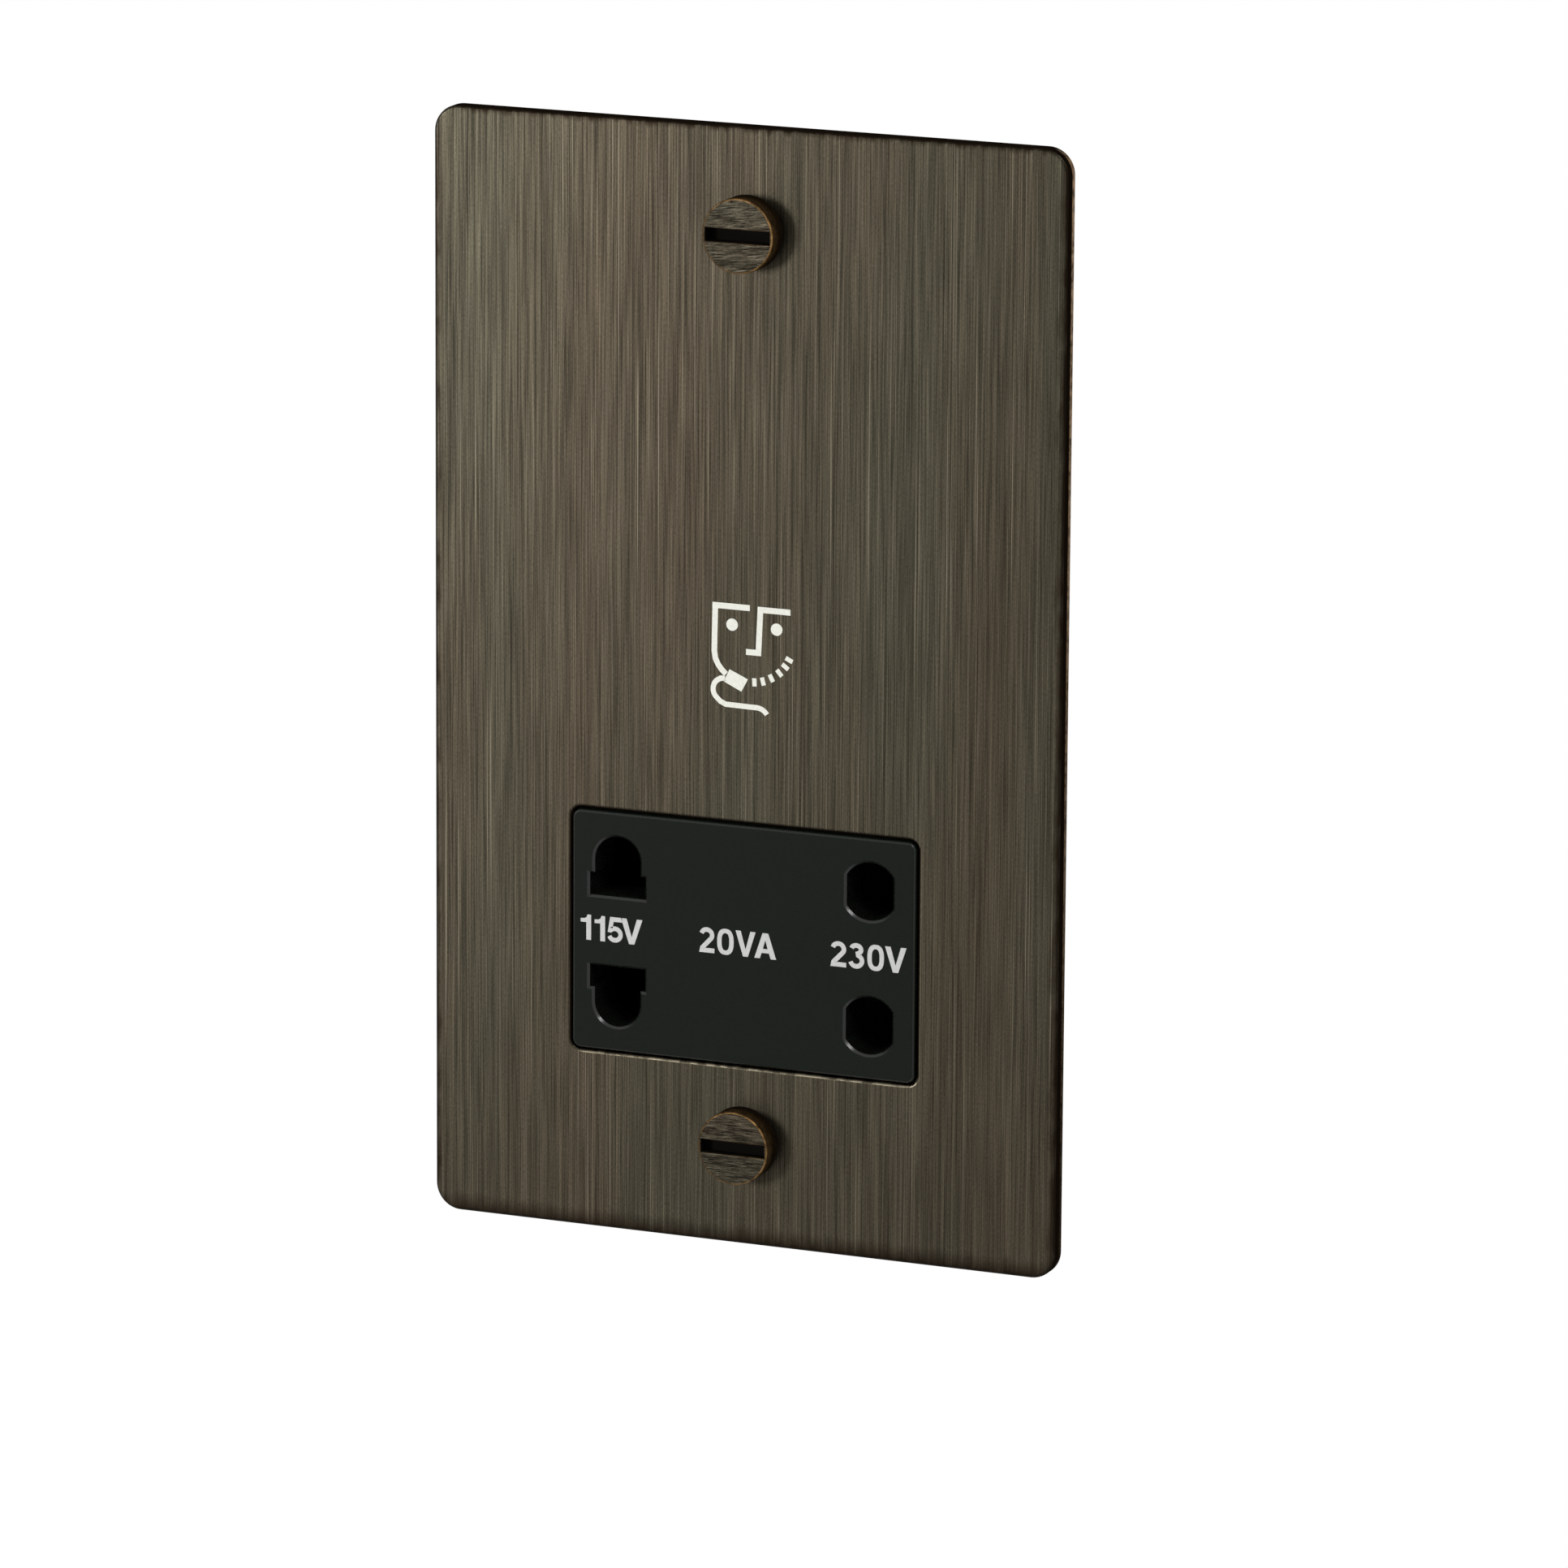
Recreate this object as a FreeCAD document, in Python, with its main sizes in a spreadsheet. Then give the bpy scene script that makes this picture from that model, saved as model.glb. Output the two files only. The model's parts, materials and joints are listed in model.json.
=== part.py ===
import FreeCAD, Part
import math
import os

import Sketcher
from FreeCAD import Placement, Rotation, Vector

# Dual-voltage shaver socket on a flush metal plate, in millimetres.
# The origin is the centre of the plate's rear rim, on the wall. X points right, Z up and Y into the wall,
# so the plate's front looks along -Y and everything with a positive y is inside the wall box.

# Driving dimensions. A name that ends in Z or X is a place on that axis, the rest are sizes.
SIZES = {
    # face plate
    "PlateWidth": 88.0,
    "PlateHeight": 148.0,
    "PlateThick": 2.0,
    "PlateCorner": 3.5,
    "PlateEdge": 0.45,
    "RimWidth": 3.0,
    "ReliefDepth": 0.3,
    "ReliefCorner": 2.0,
    # window that the moulding shows through
    "WindowWidth": 48.8,
    "WindowHeight": 32.6,
    "WindowCorner": 1.4,
    "WindowEdge": 0.2,
    "WindowZ": -33.7,
    # slotted screws into the wall box
    "FixingCentres": 120.6,
    "FixingClear": 0.35,
    "FixingHeadRadius": 4.9,
    "FixingHeadHeight": 3.3,
    "FixingNeckRadius": 1.4,
    "FixingNeckEnd": 0.5,
    "FixingThreadRadius": 1.75,
    "FixingLength": 34.0,
    "FixingRim": 0.35,
    "FixingSlotLength": 9.0,
    "FixingSlotWidth": 1.75,
    "FixingSlotDepth": 1.5,
    # welded studs, washers and nuts that hold the housing to the plate
    "StudX": 24.0,
    "StudZ": 57.8,
    "StudRadius": 1.5,
    "StudLength": 8.0,
    "StudClear": 0.2,
    "WasherRadius": 3.2,
    "WasherThick": 0.5,
    "WasherClear": 0.1,
    "ThreadClear": 0.05,
    "NutFlats": 5.5,
    "NutThick": 2.4,
    # front moulding
    "InsertGap": 0.25,
    "InsertProud": 0.3,
    "InsertEdge": 0.4,
    "InsertDepth": 4.5,
    "FlangeLap": 2.0,
    "FlangeThick": 2.5,
    "HoleChamfer": 0.25,
    # pin holes for 230 V plugs: circles cut by upright flats
    "RoundHoleX": 17.75,
    "RoundHoleSpacing": 17.9,
    "RoundHoleRadius": 3.85,
    "RoundHoleWidth": 6.55,
    # pin holes for 115 V plugs: a dome for a round pin on a wide base for a flat blade
    "FlatHoleX": -17.8,
    "FlatHoleInner": 4.7,
    "FlatHoleShoulder": 7.7,
    "FlatHoleEnd": 12.8,
    "FlatHoleDome": 3.25,
    "FlatHoleWidth": 7.9,
    # sliding shutter that closes all four holes
    "ShutterHalf": 21.9,
    "ShutterTravel": 7.4,
    "ShutterThick": 7.6,
    "ShutterHalfHeight": 13.4,
    "ShutterLand": 0.2,
    "ShutterPlay": 0.3,
    "SpringBayHalf": 15.0,
    "SpringBayHalfHeight": 3.0,
    "SpringRadius": 1.95,
    "SpringWire": 0.25,
    "SpringTurns": 7,
    "SpringPlay": 0.1,
    "NotchDepth": 1.8,
    # contact carrier
    "TrayHalf": 29.5,
    "TrayPlay": 0.25,
    "TrayWall": 1.2,
    "TrayFloor": 2.0,
    "PostHalf": 1.6,
    "PostHalfHeight": 2.2,
    "PocketWidth": 9.4,
    "PocketHeight": 9.2,
    "PocketDepth": 10.3,
    "PocketWall": 1.2,
    "FlatContactOffset": 7.9,
    "FloorHoleClear": 0.2,
    # brass contacts
    "ContactStrip": 0.6,
    "ContactWidth": 7.0,
    "ContactPlay": 0.1,
    "ContactMouth": 3.5,
    "RoundThroat": 2.0,
    "FlatThroat": 1.0,
    "ContactBelly": 2.3,
    "TailWidth": 3.0,
    "TailLength": 3.4,
    "TailShift": 3.1,
    "ContactInset": 1.6,
    "MouthDepth": 0.6,
    "ThroatDepth": 3.3,
    "BellyDepth": 6.3,
    # leaf switch on top of the tray
    "LeafThick": 0.3,
    "LeafWidth": 4.0,
    "LeafLeft": 24.0,
    "LeafRight": 12.5,
    "LeafSeat": 0.9,
    "LeafFrontPlay": 1.7,
    "SwitchGap": 0.8,
    "SwitchStrip": 0.5,
    "SwitchBlock": 6.0,
    "SwitchTail": 3.6,
    "SwitchBlockGap": 1.5,
    "SwitchBlockMargin": 0.5,
    "SwitchOverlap": 4.0,
    "ButtonInset": 2.0,
    "ButtonRadius": 1.4,
    "LeafNoseClear": 0.8,
    "LeafSlotClear": 0.3,
    # transformer
    "CoreWidth": 48.0,
    "CoreHeight": 40.0,
    "CoreStack": 18.0,
    "CoreLeg": 8.0,
    "CoreZ": 18.0,
    "CoreY": 21.0,
    "CoreBoltHole": 1.6,
    "BobbinPlay": 0.15,
    "BobbinWall": 1.0,
    "BobbinReach": 7.6,
    "WindingInset": 1.0,
    "WindingPlay": 0.05,
    "WindingCorner": 3.0,
    "CheekCorner": 1.0,
    "TapeThick": 0.35,
    "ClampThick": 0.8,
    "ClampLip": 3.0,
    "ClampFoot": 5.4,
    "ClampFootZ": 10.0,
    "ClampFootWidth": 8.0,
    "ClampHoleEdge": 2.5,
    "TagWidth": 2.0,
    "TagThick": 0.5,
    "TagLength": 4.0,
    "TagPitch": 6.0,
    "TagY": 6.25,
    "CutoutWidth": 8.0,
    "CutoutHeight": 9.0,
    "CutoutThick": 3.5,
    "CutoutZ": 8.2,
    "CutoutCorner": 0.8,
    "CutoutPlay": 0.1,
    # terminal block on the housing's step
    "BlockWidth": 36.0,
    "BlockHeight": 16.4,
    "BlockDepth": 9.9,
    "BlockWall": 2.0,
    "BlockCorner": 1.0,
    "BlockSeat": 0.1,
    "TerminalPitch": 11.0,
    "TerminalWidth": 7.4,
    "TerminalPlay": 0.15,
    "WireHoleRadius": 1.8,
    "TerminalScrewRadius": 1.45,
    "TerminalScrewLength": 3.0,
    "TerminalRoof": 1.5,
    "ScrewHoleClear": 0.5,
    "WireEntryDepth": 3.0,
    "WireEntryClear": 0.2,
    "WireWall": 0.8,
    "LeadEntryDepth": 5.0,
    "LeadInset": 4.4,
    "EarthLeadSide": 2.2,
    "EarthLeadBack": 1.65,
    # rear housing
    "HousingFootClear": 0.7,
    "HousingTrayClear": 0.2,
    "HousingHalfHeight": 54.0,
    "HousingDepth": 41.0,
    "StepDepth": 31.0,
    "StepZ": -36.5,
    "HousingWall": 1.8,
    "HousingCorner": 3.0,
    "HousingEdge": 1.2,
    "EarWidth": 12.0,
    "EarThick": 2.5,
    "EarReach": 5.0,
    "EarCorner": 2.0,
    "VentWidth": 2.2,
    "VentLength": 22.0,
    "VentPitch": 5.0,
    "VentCorner": 1.0,
    "BossHalf": 3.0,
    "RibHalf": 3.0,
    # earth tag on the lower right stud
    "EarthTagThick": 0.6,
    "BarrelOffset": 4.5,
    "BarrelLength": 4.0,
    "BarrelRadius": 1.4,
    "BarrelStrap": 1.0,
    "TagNeckHalf": 1.2,
    # small fasteners
    "ClampScrewRadius": 1.2,
    "ClampScrewHead": 2.2,
    "ClampScrewHeadHeight": 1.6,
    "ClampScrewNeck": 0.1,
    "ClampScrewRim": 0.3,
    "ClampScrewLength": 7.0,
    "SmallSlotWidth": 0.6,
    "SmallSlotDepth": 0.8,
    # internal leads
    "LeadRadius": 0.9,
    "LeadClear": 0.25,
    "TailLeadGap": 0.4,
    "ThermalLeadRadius": 0.5,
}

CIRCLE = 2 * math.pi
VENT_COUNT = 8
LEAST_TURN = 0.02  # radians, under which two runs of a lead count as straight
SPRING_RUNS = 10  # straight runs in one turn of a spring
WIRE_SIDES = 6
LEAD_SIDES = 8
TRANSFORMED, RIGHT_CORNER = 0, 1  # how a sweep passes a corner of its path

doc = FreeCAD.newDocument("shaver_socket")
sheet = doc.addObject("Spreadsheet::Sheet", "Sizes")


class Dim:
    """A length that carries its number and the formula that gives it from the driving dimensions."""

    def __init__(self, number, formula):
        self.number = float(number)
        self.formula = formula

    @staticmethod
    def of(other):
        return other if isinstance(other, Dim) else Dim(other, repr(float(other)))

    def joined(self, sign, other, number):
        return Dim(number, f"({self.formula} {sign} {other.formula})")

    def __add__(self, other):
        other = Dim.of(other)
        return self.joined("+", other, self.number + other.number)

    def __sub__(self, other):
        other = Dim.of(other)
        return self.joined("-", other, self.number - other.number)

    def __mul__(self, other):
        other = Dim.of(other)
        return self.joined("*", other, self.number * other.number)

    def __truediv__(self, other):
        other = Dim.of(other)
        return self.joined("/", other, self.number / other.number)

    def __radd__(self, other):
        return Dim.of(other) + self

    def __rsub__(self, other):
        return Dim.of(other) - self

    def __rmul__(self, other):
        return Dim.of(other) * self

    def __neg__(self):
        return Dim(-self.number, f"(-{self.formula})")


class Sizes:
    """The driving dimensions by name."""


S = Sizes()
for row, (name, number) in enumerate(SIZES.items(), start=1):
    sheet.set(f"A{row}", name)
    sheet.set(f"B{row}", str(number))
    sheet.setAlias(f"B{row}", name)
    setattr(S, name, Dim(number, f"Sizes.{name}"))
doc.recompute()


def larger(first, second):
    """The larger of two lengths, whatever the sizes are set to."""
    return Dim(max(first.number, second.number), f"max({first.formula}; {second.formula})")


# Places that several pieces share
SEAT = -S.ReliefDepth
PLATE_FRONT = -S.PlateThick
INSERT_FRONT = PLATE_FRONT - S.InsertProud
INSERT_WIDE = S.WindowWidth / 2 - S.InsertGap
INSERT_TALL = S.WindowHeight / 2 - S.InsertGap
SHUTTER_FRONT = S.InsertDepth + S.ShutterPlay
SHUTTER_REAR = SHUTTER_FRONT + S.ShutterThick
TRAY_FLOOR = SHUTTER_REAR + S.ShutterPlay
TRAY_REAR = TRAY_FLOOR + S.TrayFloor
TRAY_HALF_HEIGHT = S.ShutterHalfHeight + S.TrayPlay
TRAY_TOP = S.WindowZ + TRAY_HALF_HEIGHT + S.TrayWall
POCKET_REAR = TRAY_REAR + S.PocketDepth
CONTACT_BASE = POCKET_REAR - S.ContactInset
CONTACT_REAR = CONTACT_BASE + S.ContactStrip
LEAF_FRONT = SHUTTER_FRONT + S.LeafFrontPlay
LEAF_Z = TRAY_TOP + S.LeafSeat
SWITCH_Z = LEAF_Z + S.LeafThick + S.SwitchGap
SWITCH_LEFT = S.LeafRight + S.SwitchBlockGap
CORE_LOW = S.CoreZ - S.CoreHeight / 2
CORE_TOP = S.CoreZ + S.CoreHeight / 2
CORE_FRONT = S.CoreY - S.CoreStack / 2
CORE_REAR = S.CoreY + S.CoreStack / 2
YOKE_TOP = CORE_LOW + S.CoreLeg
SPOOL_LOW = YOKE_TOP + S.BobbinPlay
SPOOL_TOP = CORE_TOP - S.CoreLeg - S.BobbinPlay
SPOOL_HALF_X = S.CoreLeg + S.BobbinPlay + S.BobbinWall
SPOOL_HALF_Y = S.CoreStack / 2 + S.BobbinPlay + S.BobbinWall
CHEEK_HALF_X = S.CoreLeg + S.BobbinReach
CHEEK_HALF_Y = S.CoreStack / 2 + S.BobbinReach
TAPE_HALF_Y = CHEEK_HALF_Y - S.WindingInset + S.TapeThick
BLOCK_FRONT = S.StepDepth + S.BlockSeat
BLOCK_REAR = BLOCK_FRONT + S.BlockDepth
BLOCK_TOP = S.StepZ - S.BlockSeat
BLOCK_LOW = BLOCK_TOP - S.BlockHeight
TERMINAL_FRONT = BLOCK_FRONT + S.TerminalPlay
TERMINAL_REAR = BLOCK_REAR - S.BlockWall - S.TerminalPlay
TERMINAL_LOW = BLOCK_LOW + S.WireEntryDepth
TERMINAL_TOP = BLOCK_TOP - S.LeadEntryDepth
TERMINAL_Z = (TERMINAL_LOW + TERMINAL_TOP) / 2
LEAD_Y = BLOCK_FRONT + S.LeadInset
TAIL_LEAD_Y = POCKET_REAR + S.TailLeadGap + S.LeadRadius
STUDS = [(x, z) for x in (-S.StudX, S.StudX) for z in (-S.StudZ, S.StudZ)]
FEET = (S.CoreZ - S.ClampFootZ, S.CoreZ + S.ClampFootZ)
FOOT_END = S.CoreWidth / 2 + S.ClampThick + S.ClampFoot
FOOT_X = FOOT_END - S.ClampHoleEdge
HOUSING_HALF = S.HousingWall + larger(
    FOOT_END + S.HousingFootClear, S.TrayHalf + S.TrayWall + S.HousingTrayClear
)
TERMINAL_X = (-S.TerminalPitch, Dim.of(0), S.TerminalPitch)
WIRE_Y = TERMINAL_FRONT + S.WireHoleRadius + S.WireWall
EARTH_X, EARTH_Y = S.TerminalPitch + S.EarthLeadSide, TERMINAL_REAR - S.EarthLeadBack
BARREL_X = S.StudX - S.BarrelOffset
TAG_X = {
    "secondary_115": -2 * S.TagPitch,
    "secondary_common": -S.TagPitch,
    "primary_fused": Dim.of(0),
    "primary_neutral": S.TagPitch,
    "secondary_230": 2 * S.TagPitch,
}
CUTOUT_FRONT = S.CoreY - TAPE_HALF_Y - S.CutoutPlay - S.CutoutThick

PIECES = {}


def bind(item, prop, length):
    """Tie a property to the formula of a length."""
    item.setExpression(prop, Dim.of(length).formula)


def keep(label, item):
    """Register a finished sub-part under the name that its file gets."""
    item.Label = label
    PIECES[label] = item
    return item


def new_body(label):
    body = doc.addObject("PartDesign::Body", label)
    body.Label = label
    return body


def new_sketch(body, role="XZ_Plane", at=0):
    """A sketch parallel to one of the body's own planes, at a distance along the matching axis."""
    plane = next(item for item in body.Origin.OriginFeatures if item.Role == role)
    sketch = body.newObject("Sketcher::SketchObject", body.Name + "_sketch")
    sketch.AttachmentSupport = [(plane, "")]
    sketch.MapMode = "FlatFace"
    # the XZ plane's own normal points along -Y
    bind(sketch, "AttachmentOffset.Base.z", -Dim.of(at) if role == "XZ_Plane" else at)
    return sketch


def fix_point(sketch, edge, end, point):
    """Dimension one sketch point from the origin."""
    for kind, length in zip(("DistanceX", "DistanceY"), point):
        number = sketch.addConstraint(Sketcher.Constraint(kind, -1, 1, edge, end, length.number))
        bind(sketch, f"Constraints[{number}]", length)


def add_loop(sketch, corners, arcs=None):
    """A closed anticlockwise outline. arcs gives each round stretch's centre, by its first corner."""
    arcs = arcs or {}
    corners = [(Dim.of(u), Dim.of(v)) for u, v in corners]
    first = sketch.GeometryCount
    count = len(corners)
    for i, (start, end) in enumerate(zip(corners, corners[1:] + corners[:1])):
        a = Vector(start[0].number, start[1].number, 0)
        b = Vector(end[0].number, end[1].number, 0)
        if i in arcs:
            centre = Vector(Dim.of(arcs[i][0]).number, Dim.of(arcs[i][1]).number, 0)
            angles = [math.atan2(p.y - centre.y, p.x - centre.x) for p in (a, b)]
            if angles[1] <= angles[0]:
                angles[1] += CIRCLE
            circle = Part.Circle(centre, Vector(0, 0, 1), (a - centre).Length)
            sketch.addGeometry(Part.ArcOfCircle(circle, *angles))
        else:
            sketch.addGeometry(Part.LineSegment(a, b))
    for i in range(count):
        here, following = first + i, first + (i + 1) % count
        sketch.addConstraint(Sketcher.Constraint("Coincident", here, 2, following, 1))
        fix_point(sketch, here, 1, corners[i])
    for i, centre in arcs.items():
        start, end = corners[i], corners[(i + 1) % count]
        level = abs(end[0].number - start[0].number) >= abs(end[1].number - start[1].number)
        kind, length = ("DistanceY", Dim.of(centre[1])) if level else ("DistanceX", Dim.of(centre[0]))
        number = sketch.addConstraint(Sketcher.Constraint(kind, -1, 1, first + i, 3, length.number))
        bind(sketch, f"Constraints[{number}]", length)


def add_rectangle(sketch, left, right, low, top, corner=None):
    """A rectangle, with round corners where a radius is given."""
    left, right, low, top = (Dim.of(side) for side in (left, right, low, top))
    if corner is None:
        add_loop(sketch, [(left, low), (right, low), (right, top), (left, top)])
        return
    corners = [
        (left + corner, low), (right - corner, low), (right, low + corner), (right, top - corner),
        (right - corner, top), (left + corner, top), (left, top - corner), (left, low + corner),
    ]
    arcs = {
        1: (right - corner, low + corner), 3: (right - corner, top - corner),
        5: (left + corner, top - corner), 7: (left + corner, low + corner),
    }
    add_loop(sketch, corners, arcs)


def add_circle(sketch, u, v, radius):
    u, v, radius = (Dim.of(length) for length in (u, v, radius))
    centre = Vector(u.number, v.number, 0)
    edge = sketch.addGeometry(Part.Circle(centre, Vector(0, 0, 1), radius.number))
    fix_point(sketch, edge, 3, (u, v))
    number = sketch.addConstraint(Sketcher.Constraint("Radius", edge, radius.number))
    bind(sketch, f"Constraints[{number}]", radius)


def pad(body, sketch, length, backwards=False):
    """Grow the sketch along its normal, or against it."""
    feature = body.newObject("PartDesign::Pad", body.Name + "_pad")
    feature.Profile = sketch
    bind(feature, "Length", length)
    feature.Reversed = backwards
    sketch.Visibility = False
    return feature


def pocket(body, sketch, length=None, backwards=False):
    """Cut the sketch against its normal, or along it. With no length it goes right through."""
    doc.recompute()
    before = body.Tip.Shape.Volume
    feature = body.newObject("PartDesign::Pocket", body.Name + "_pocket")
    feature.Profile = sketch
    if length is None:
        feature.Type = "ThroughAll"
    else:
        bind(feature, "Length", length)
    feature.Reversed = backwards
    doc.recompute()
    if feature.Shape.Volume >= before:
        raise ValueError(f"{feature.Name} cuts nothing from {body.Label}")
    return feature


def edges_where(feature, chosen):
    """Names of the feature's edges whose ends and middle pass a test."""
    doc.recompute()
    return [f"Edge{i}" for i, edge in enumerate(feature.Shape.Edges, start=1) if chosen(edge)]


def finish_edges(body, kind, size, chosen):
    """Round or chamfer the chosen edges of the body's latest feature."""
    base = body.Tip
    names = edges_where(base, chosen)
    feature = body.newObject("PartDesign::" + kind, body.Name + "_" + kind.lower())
    feature.Base = (base, names)
    bind(feature, "Radius" if kind == "Fillet" else "Size", size)
    return feature


def lies_at(axis, place):
    """Test for an edge that lies in the plane where one coordinate has this value."""
    low, high = axis + "Min", axis + "Max"

    def chosen(edge):
        box = edge.BoundBox
        number = place.number
        return abs(getattr(box, low) - number) < 1e-4 and abs(getattr(box, high) - number) < 1e-4

    return chosen


def within(edge, centre_x, centre_z, reach_x, reach_z):
    """Is the edge inside a rectangle of this half width and half height, seen from the front?"""
    box = edge.BoundBox
    return (
        abs(box.XMin - centre_x) < reach_x
        and abs(box.XMax - centre_x) < reach_x
        and abs(box.ZMin - centre_z) < reach_z
        and abs(box.ZMax - centre_z) < reach_z
    )


def add_box(label, left, right, front, rear, low, top):
    """A box between six planes."""
    box = doc.addObject("Part::Box", label)
    bind(box, "Length", Dim.of(right) - left)
    bind(box, "Width", Dim.of(rear) - front)
    bind(box, "Height", Dim.of(top) - low)
    bind(box, "Placement.Base.x", left)
    bind(box, "Placement.Base.y", front)
    bind(box, "Placement.Base.z", low)
    return box


def add_rod(label, centre, axis, radius, length):
    """A round rod that starts at a centre and runs along an axis."""
    rod = doc.addObject("Part::Cylinder", label)
    bind(rod, "Radius", radius)
    bind(rod, "Height", length)
    rod.Placement = Placement(Vector(), Rotation(Vector(0, 0, 1), axis))
    for name, place in zip("xyz", centre):
        bind(rod, "Placement.Base." + name, place)
    return rod


def fuse(label, parts):
    joined = doc.addObject("Part::MultiFuse", label)
    joined.Shapes = parts
    return joined


def cut(label, base, tools):
    result = doc.addObject("Part::Cut", label)
    result.Base = base
    result.Tool = tools[0] if len(tools) == 1 else fuse(label + "_tools", tools)
    return result


def group(label, members):
    """Identical fasteners as one set of separate solids."""
    together = doc.addObject("Part::Compound", label)
    together.Links = members
    return together


def face_plate():
    """Metal plate with its window, a back whose rim bears on the wall, and four welded studs."""
    body = new_body("face_plate")
    wide, tall = S.PlateWidth / 2, S.PlateHeight / 2
    sketch = new_sketch(body)
    add_rectangle(sketch, -wide, wide, -tall, tall, S.PlateCorner)
    pad(body, sketch, S.PlateThick)
    finish_edges(body, "Fillet", S.PlateEdge, lies_at("Y", PLATE_FRONT))
    sketch = new_sketch(body)
    inner_wide, inner_tall = wide - S.RimWidth, tall - S.RimWidth
    add_rectangle(sketch, -inner_wide, inner_wide, -inner_tall, inner_tall, S.ReliefCorner)
    pocket(body, sketch, S.ReliefDepth, backwards=True)
    sketch = new_sketch(body)
    half = S.WindowWidth / 2
    low, top = S.WindowZ - S.WindowHeight / 2, S.WindowZ + S.WindowHeight / 2
    add_rectangle(sketch, -half, half, low, top, S.WindowCorner)
    pocket(body, sketch, backwards=True)
    front = lies_at("Y", PLATE_FRONT)
    reach = (half + S.FlangeLap / 2).number, (S.WindowHeight / 2 + S.FlangeLap / 2).number
    finish_edges(
        body, "Fillet", S.WindowEdge,
        lambda edge: front(edge) and within(edge, 0, S.WindowZ.number, *reach),
    )
    sketch = new_sketch(body)
    for side in (-1, 1):
        add_circle(sketch, 0, side * S.FixingCentres / 2, S.FixingThreadRadius + S.FixingClear)
    pocket(body, sketch, backwards=True)
    sketch = new_sketch(body, at=SEAT)
    for x, z in STUDS:
        add_circle(sketch, x, z, S.StudRadius)
    pad(body, sketch, S.StudLength, backwards=True)
    return keep("face_plate", body)


def slotted_screw(label, head, neck, thread, slot, rim):
    """A turned screw on the Y axis with a slot across its flat head.

    head is radius, front and underside. neck and thread are radius and end. slot is length, width and depth.
    """
    body = new_body(label)
    sketch = new_sketch(body, "XY_Plane")
    head_radius, front, under = head
    add_loop(sketch, [
        (0, front), (head_radius - rim, front), (head_radius, front + rim), (head_radius, under),
        (neck[0], under), (neck[0], neck[1]), (thread[0], neck[1]), (thread[0], thread[1] - thread[0] / 2),
        (thread[0] / 2, thread[1]), (0, thread[1]),
    ])
    turned = body.newObject("PartDesign::Revolution", label + "_turned")
    turned.Profile = sketch
    turned.ReferenceAxis = (sketch, ["V_Axis"])
    turned.Angle = 360
    sketch = new_sketch(body, at=front)
    length, width, depth = slot
    add_rectangle(sketch, -length / 2, length / 2, -width / 2, width / 2)
    pocket(body, sketch, depth)
    return body


def fixing_screws():
    """The two machine screws that hold the plate to the wall box, with broad flat slotted heads."""
    screws = []
    for side, name in ((1, "upper"), (-1, "lower")):
        screw = slotted_screw(
            "fixing_" + name,
            (S.FixingHeadRadius, PLATE_FRONT - S.FixingHeadHeight, PLATE_FRONT),
            (S.FixingNeckRadius, S.FixingNeckEnd),
            (S.FixingThreadRadius, S.FixingLength + PLATE_FRONT),
            (S.FixingSlotLength, S.FixingSlotWidth, S.FixingSlotDepth),
            S.FixingRim,
        )
        bind(screw, "Placement.Base.z", side * S.FixingCentres / 2)
        screws.append(screw)
    return keep("fixing_screws", group("fixing_screws", screws))


def round_hole(sketch, x, z):
    """Outline of a 230 V pin hole: a circle cut by two upright flats."""
    half = S.RoundHoleWidth / 2
    rise = Dim(
        math.sqrt(S.RoundHoleRadius.number ** 2 - half.number ** 2),
        f"sqrt({S.RoundHoleRadius.formula}^2 - {half.formula}^2)",
    )
    corners = [(x - half, z - rise), (x + half, z - rise), (x + half, z + rise), (x - half, z + rise)]
    add_loop(sketch, corners, {0: (x, z), 2: (x, z)})


def flat_hole(sketch, x, side):
    """Outline of a 115 V pin hole: a wide base for a blade, and a dome over it for a round pin."""
    z = S.WindowZ
    base, dome = S.FlatHoleWidth / 2, S.FlatHoleDome
    inner, shoulder = z + side * S.FlatHoleInner, z + side * S.FlatHoleShoulder
    crown = z + side * (S.FlatHoleEnd - dome)
    if side > 0:
        corners = [
            (x - base, inner), (x + base, inner), (x + base, shoulder), (x + dome, shoulder),
            (x + dome, crown), (x - dome, crown), (x - dome, shoulder), (x - base, shoulder),
        ]
        arcs = {4: (x, crown)}
    else:
        corners = [
            (x + base, inner), (x - base, inner), (x - base, shoulder), (x - dome, shoulder),
            (x - dome, crown), (x + dome, crown), (x + dome, shoulder), (x + base, shoulder),
        ]
        arcs = {4: (x, crown)}
    add_loop(sketch, corners, arcs)


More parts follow.
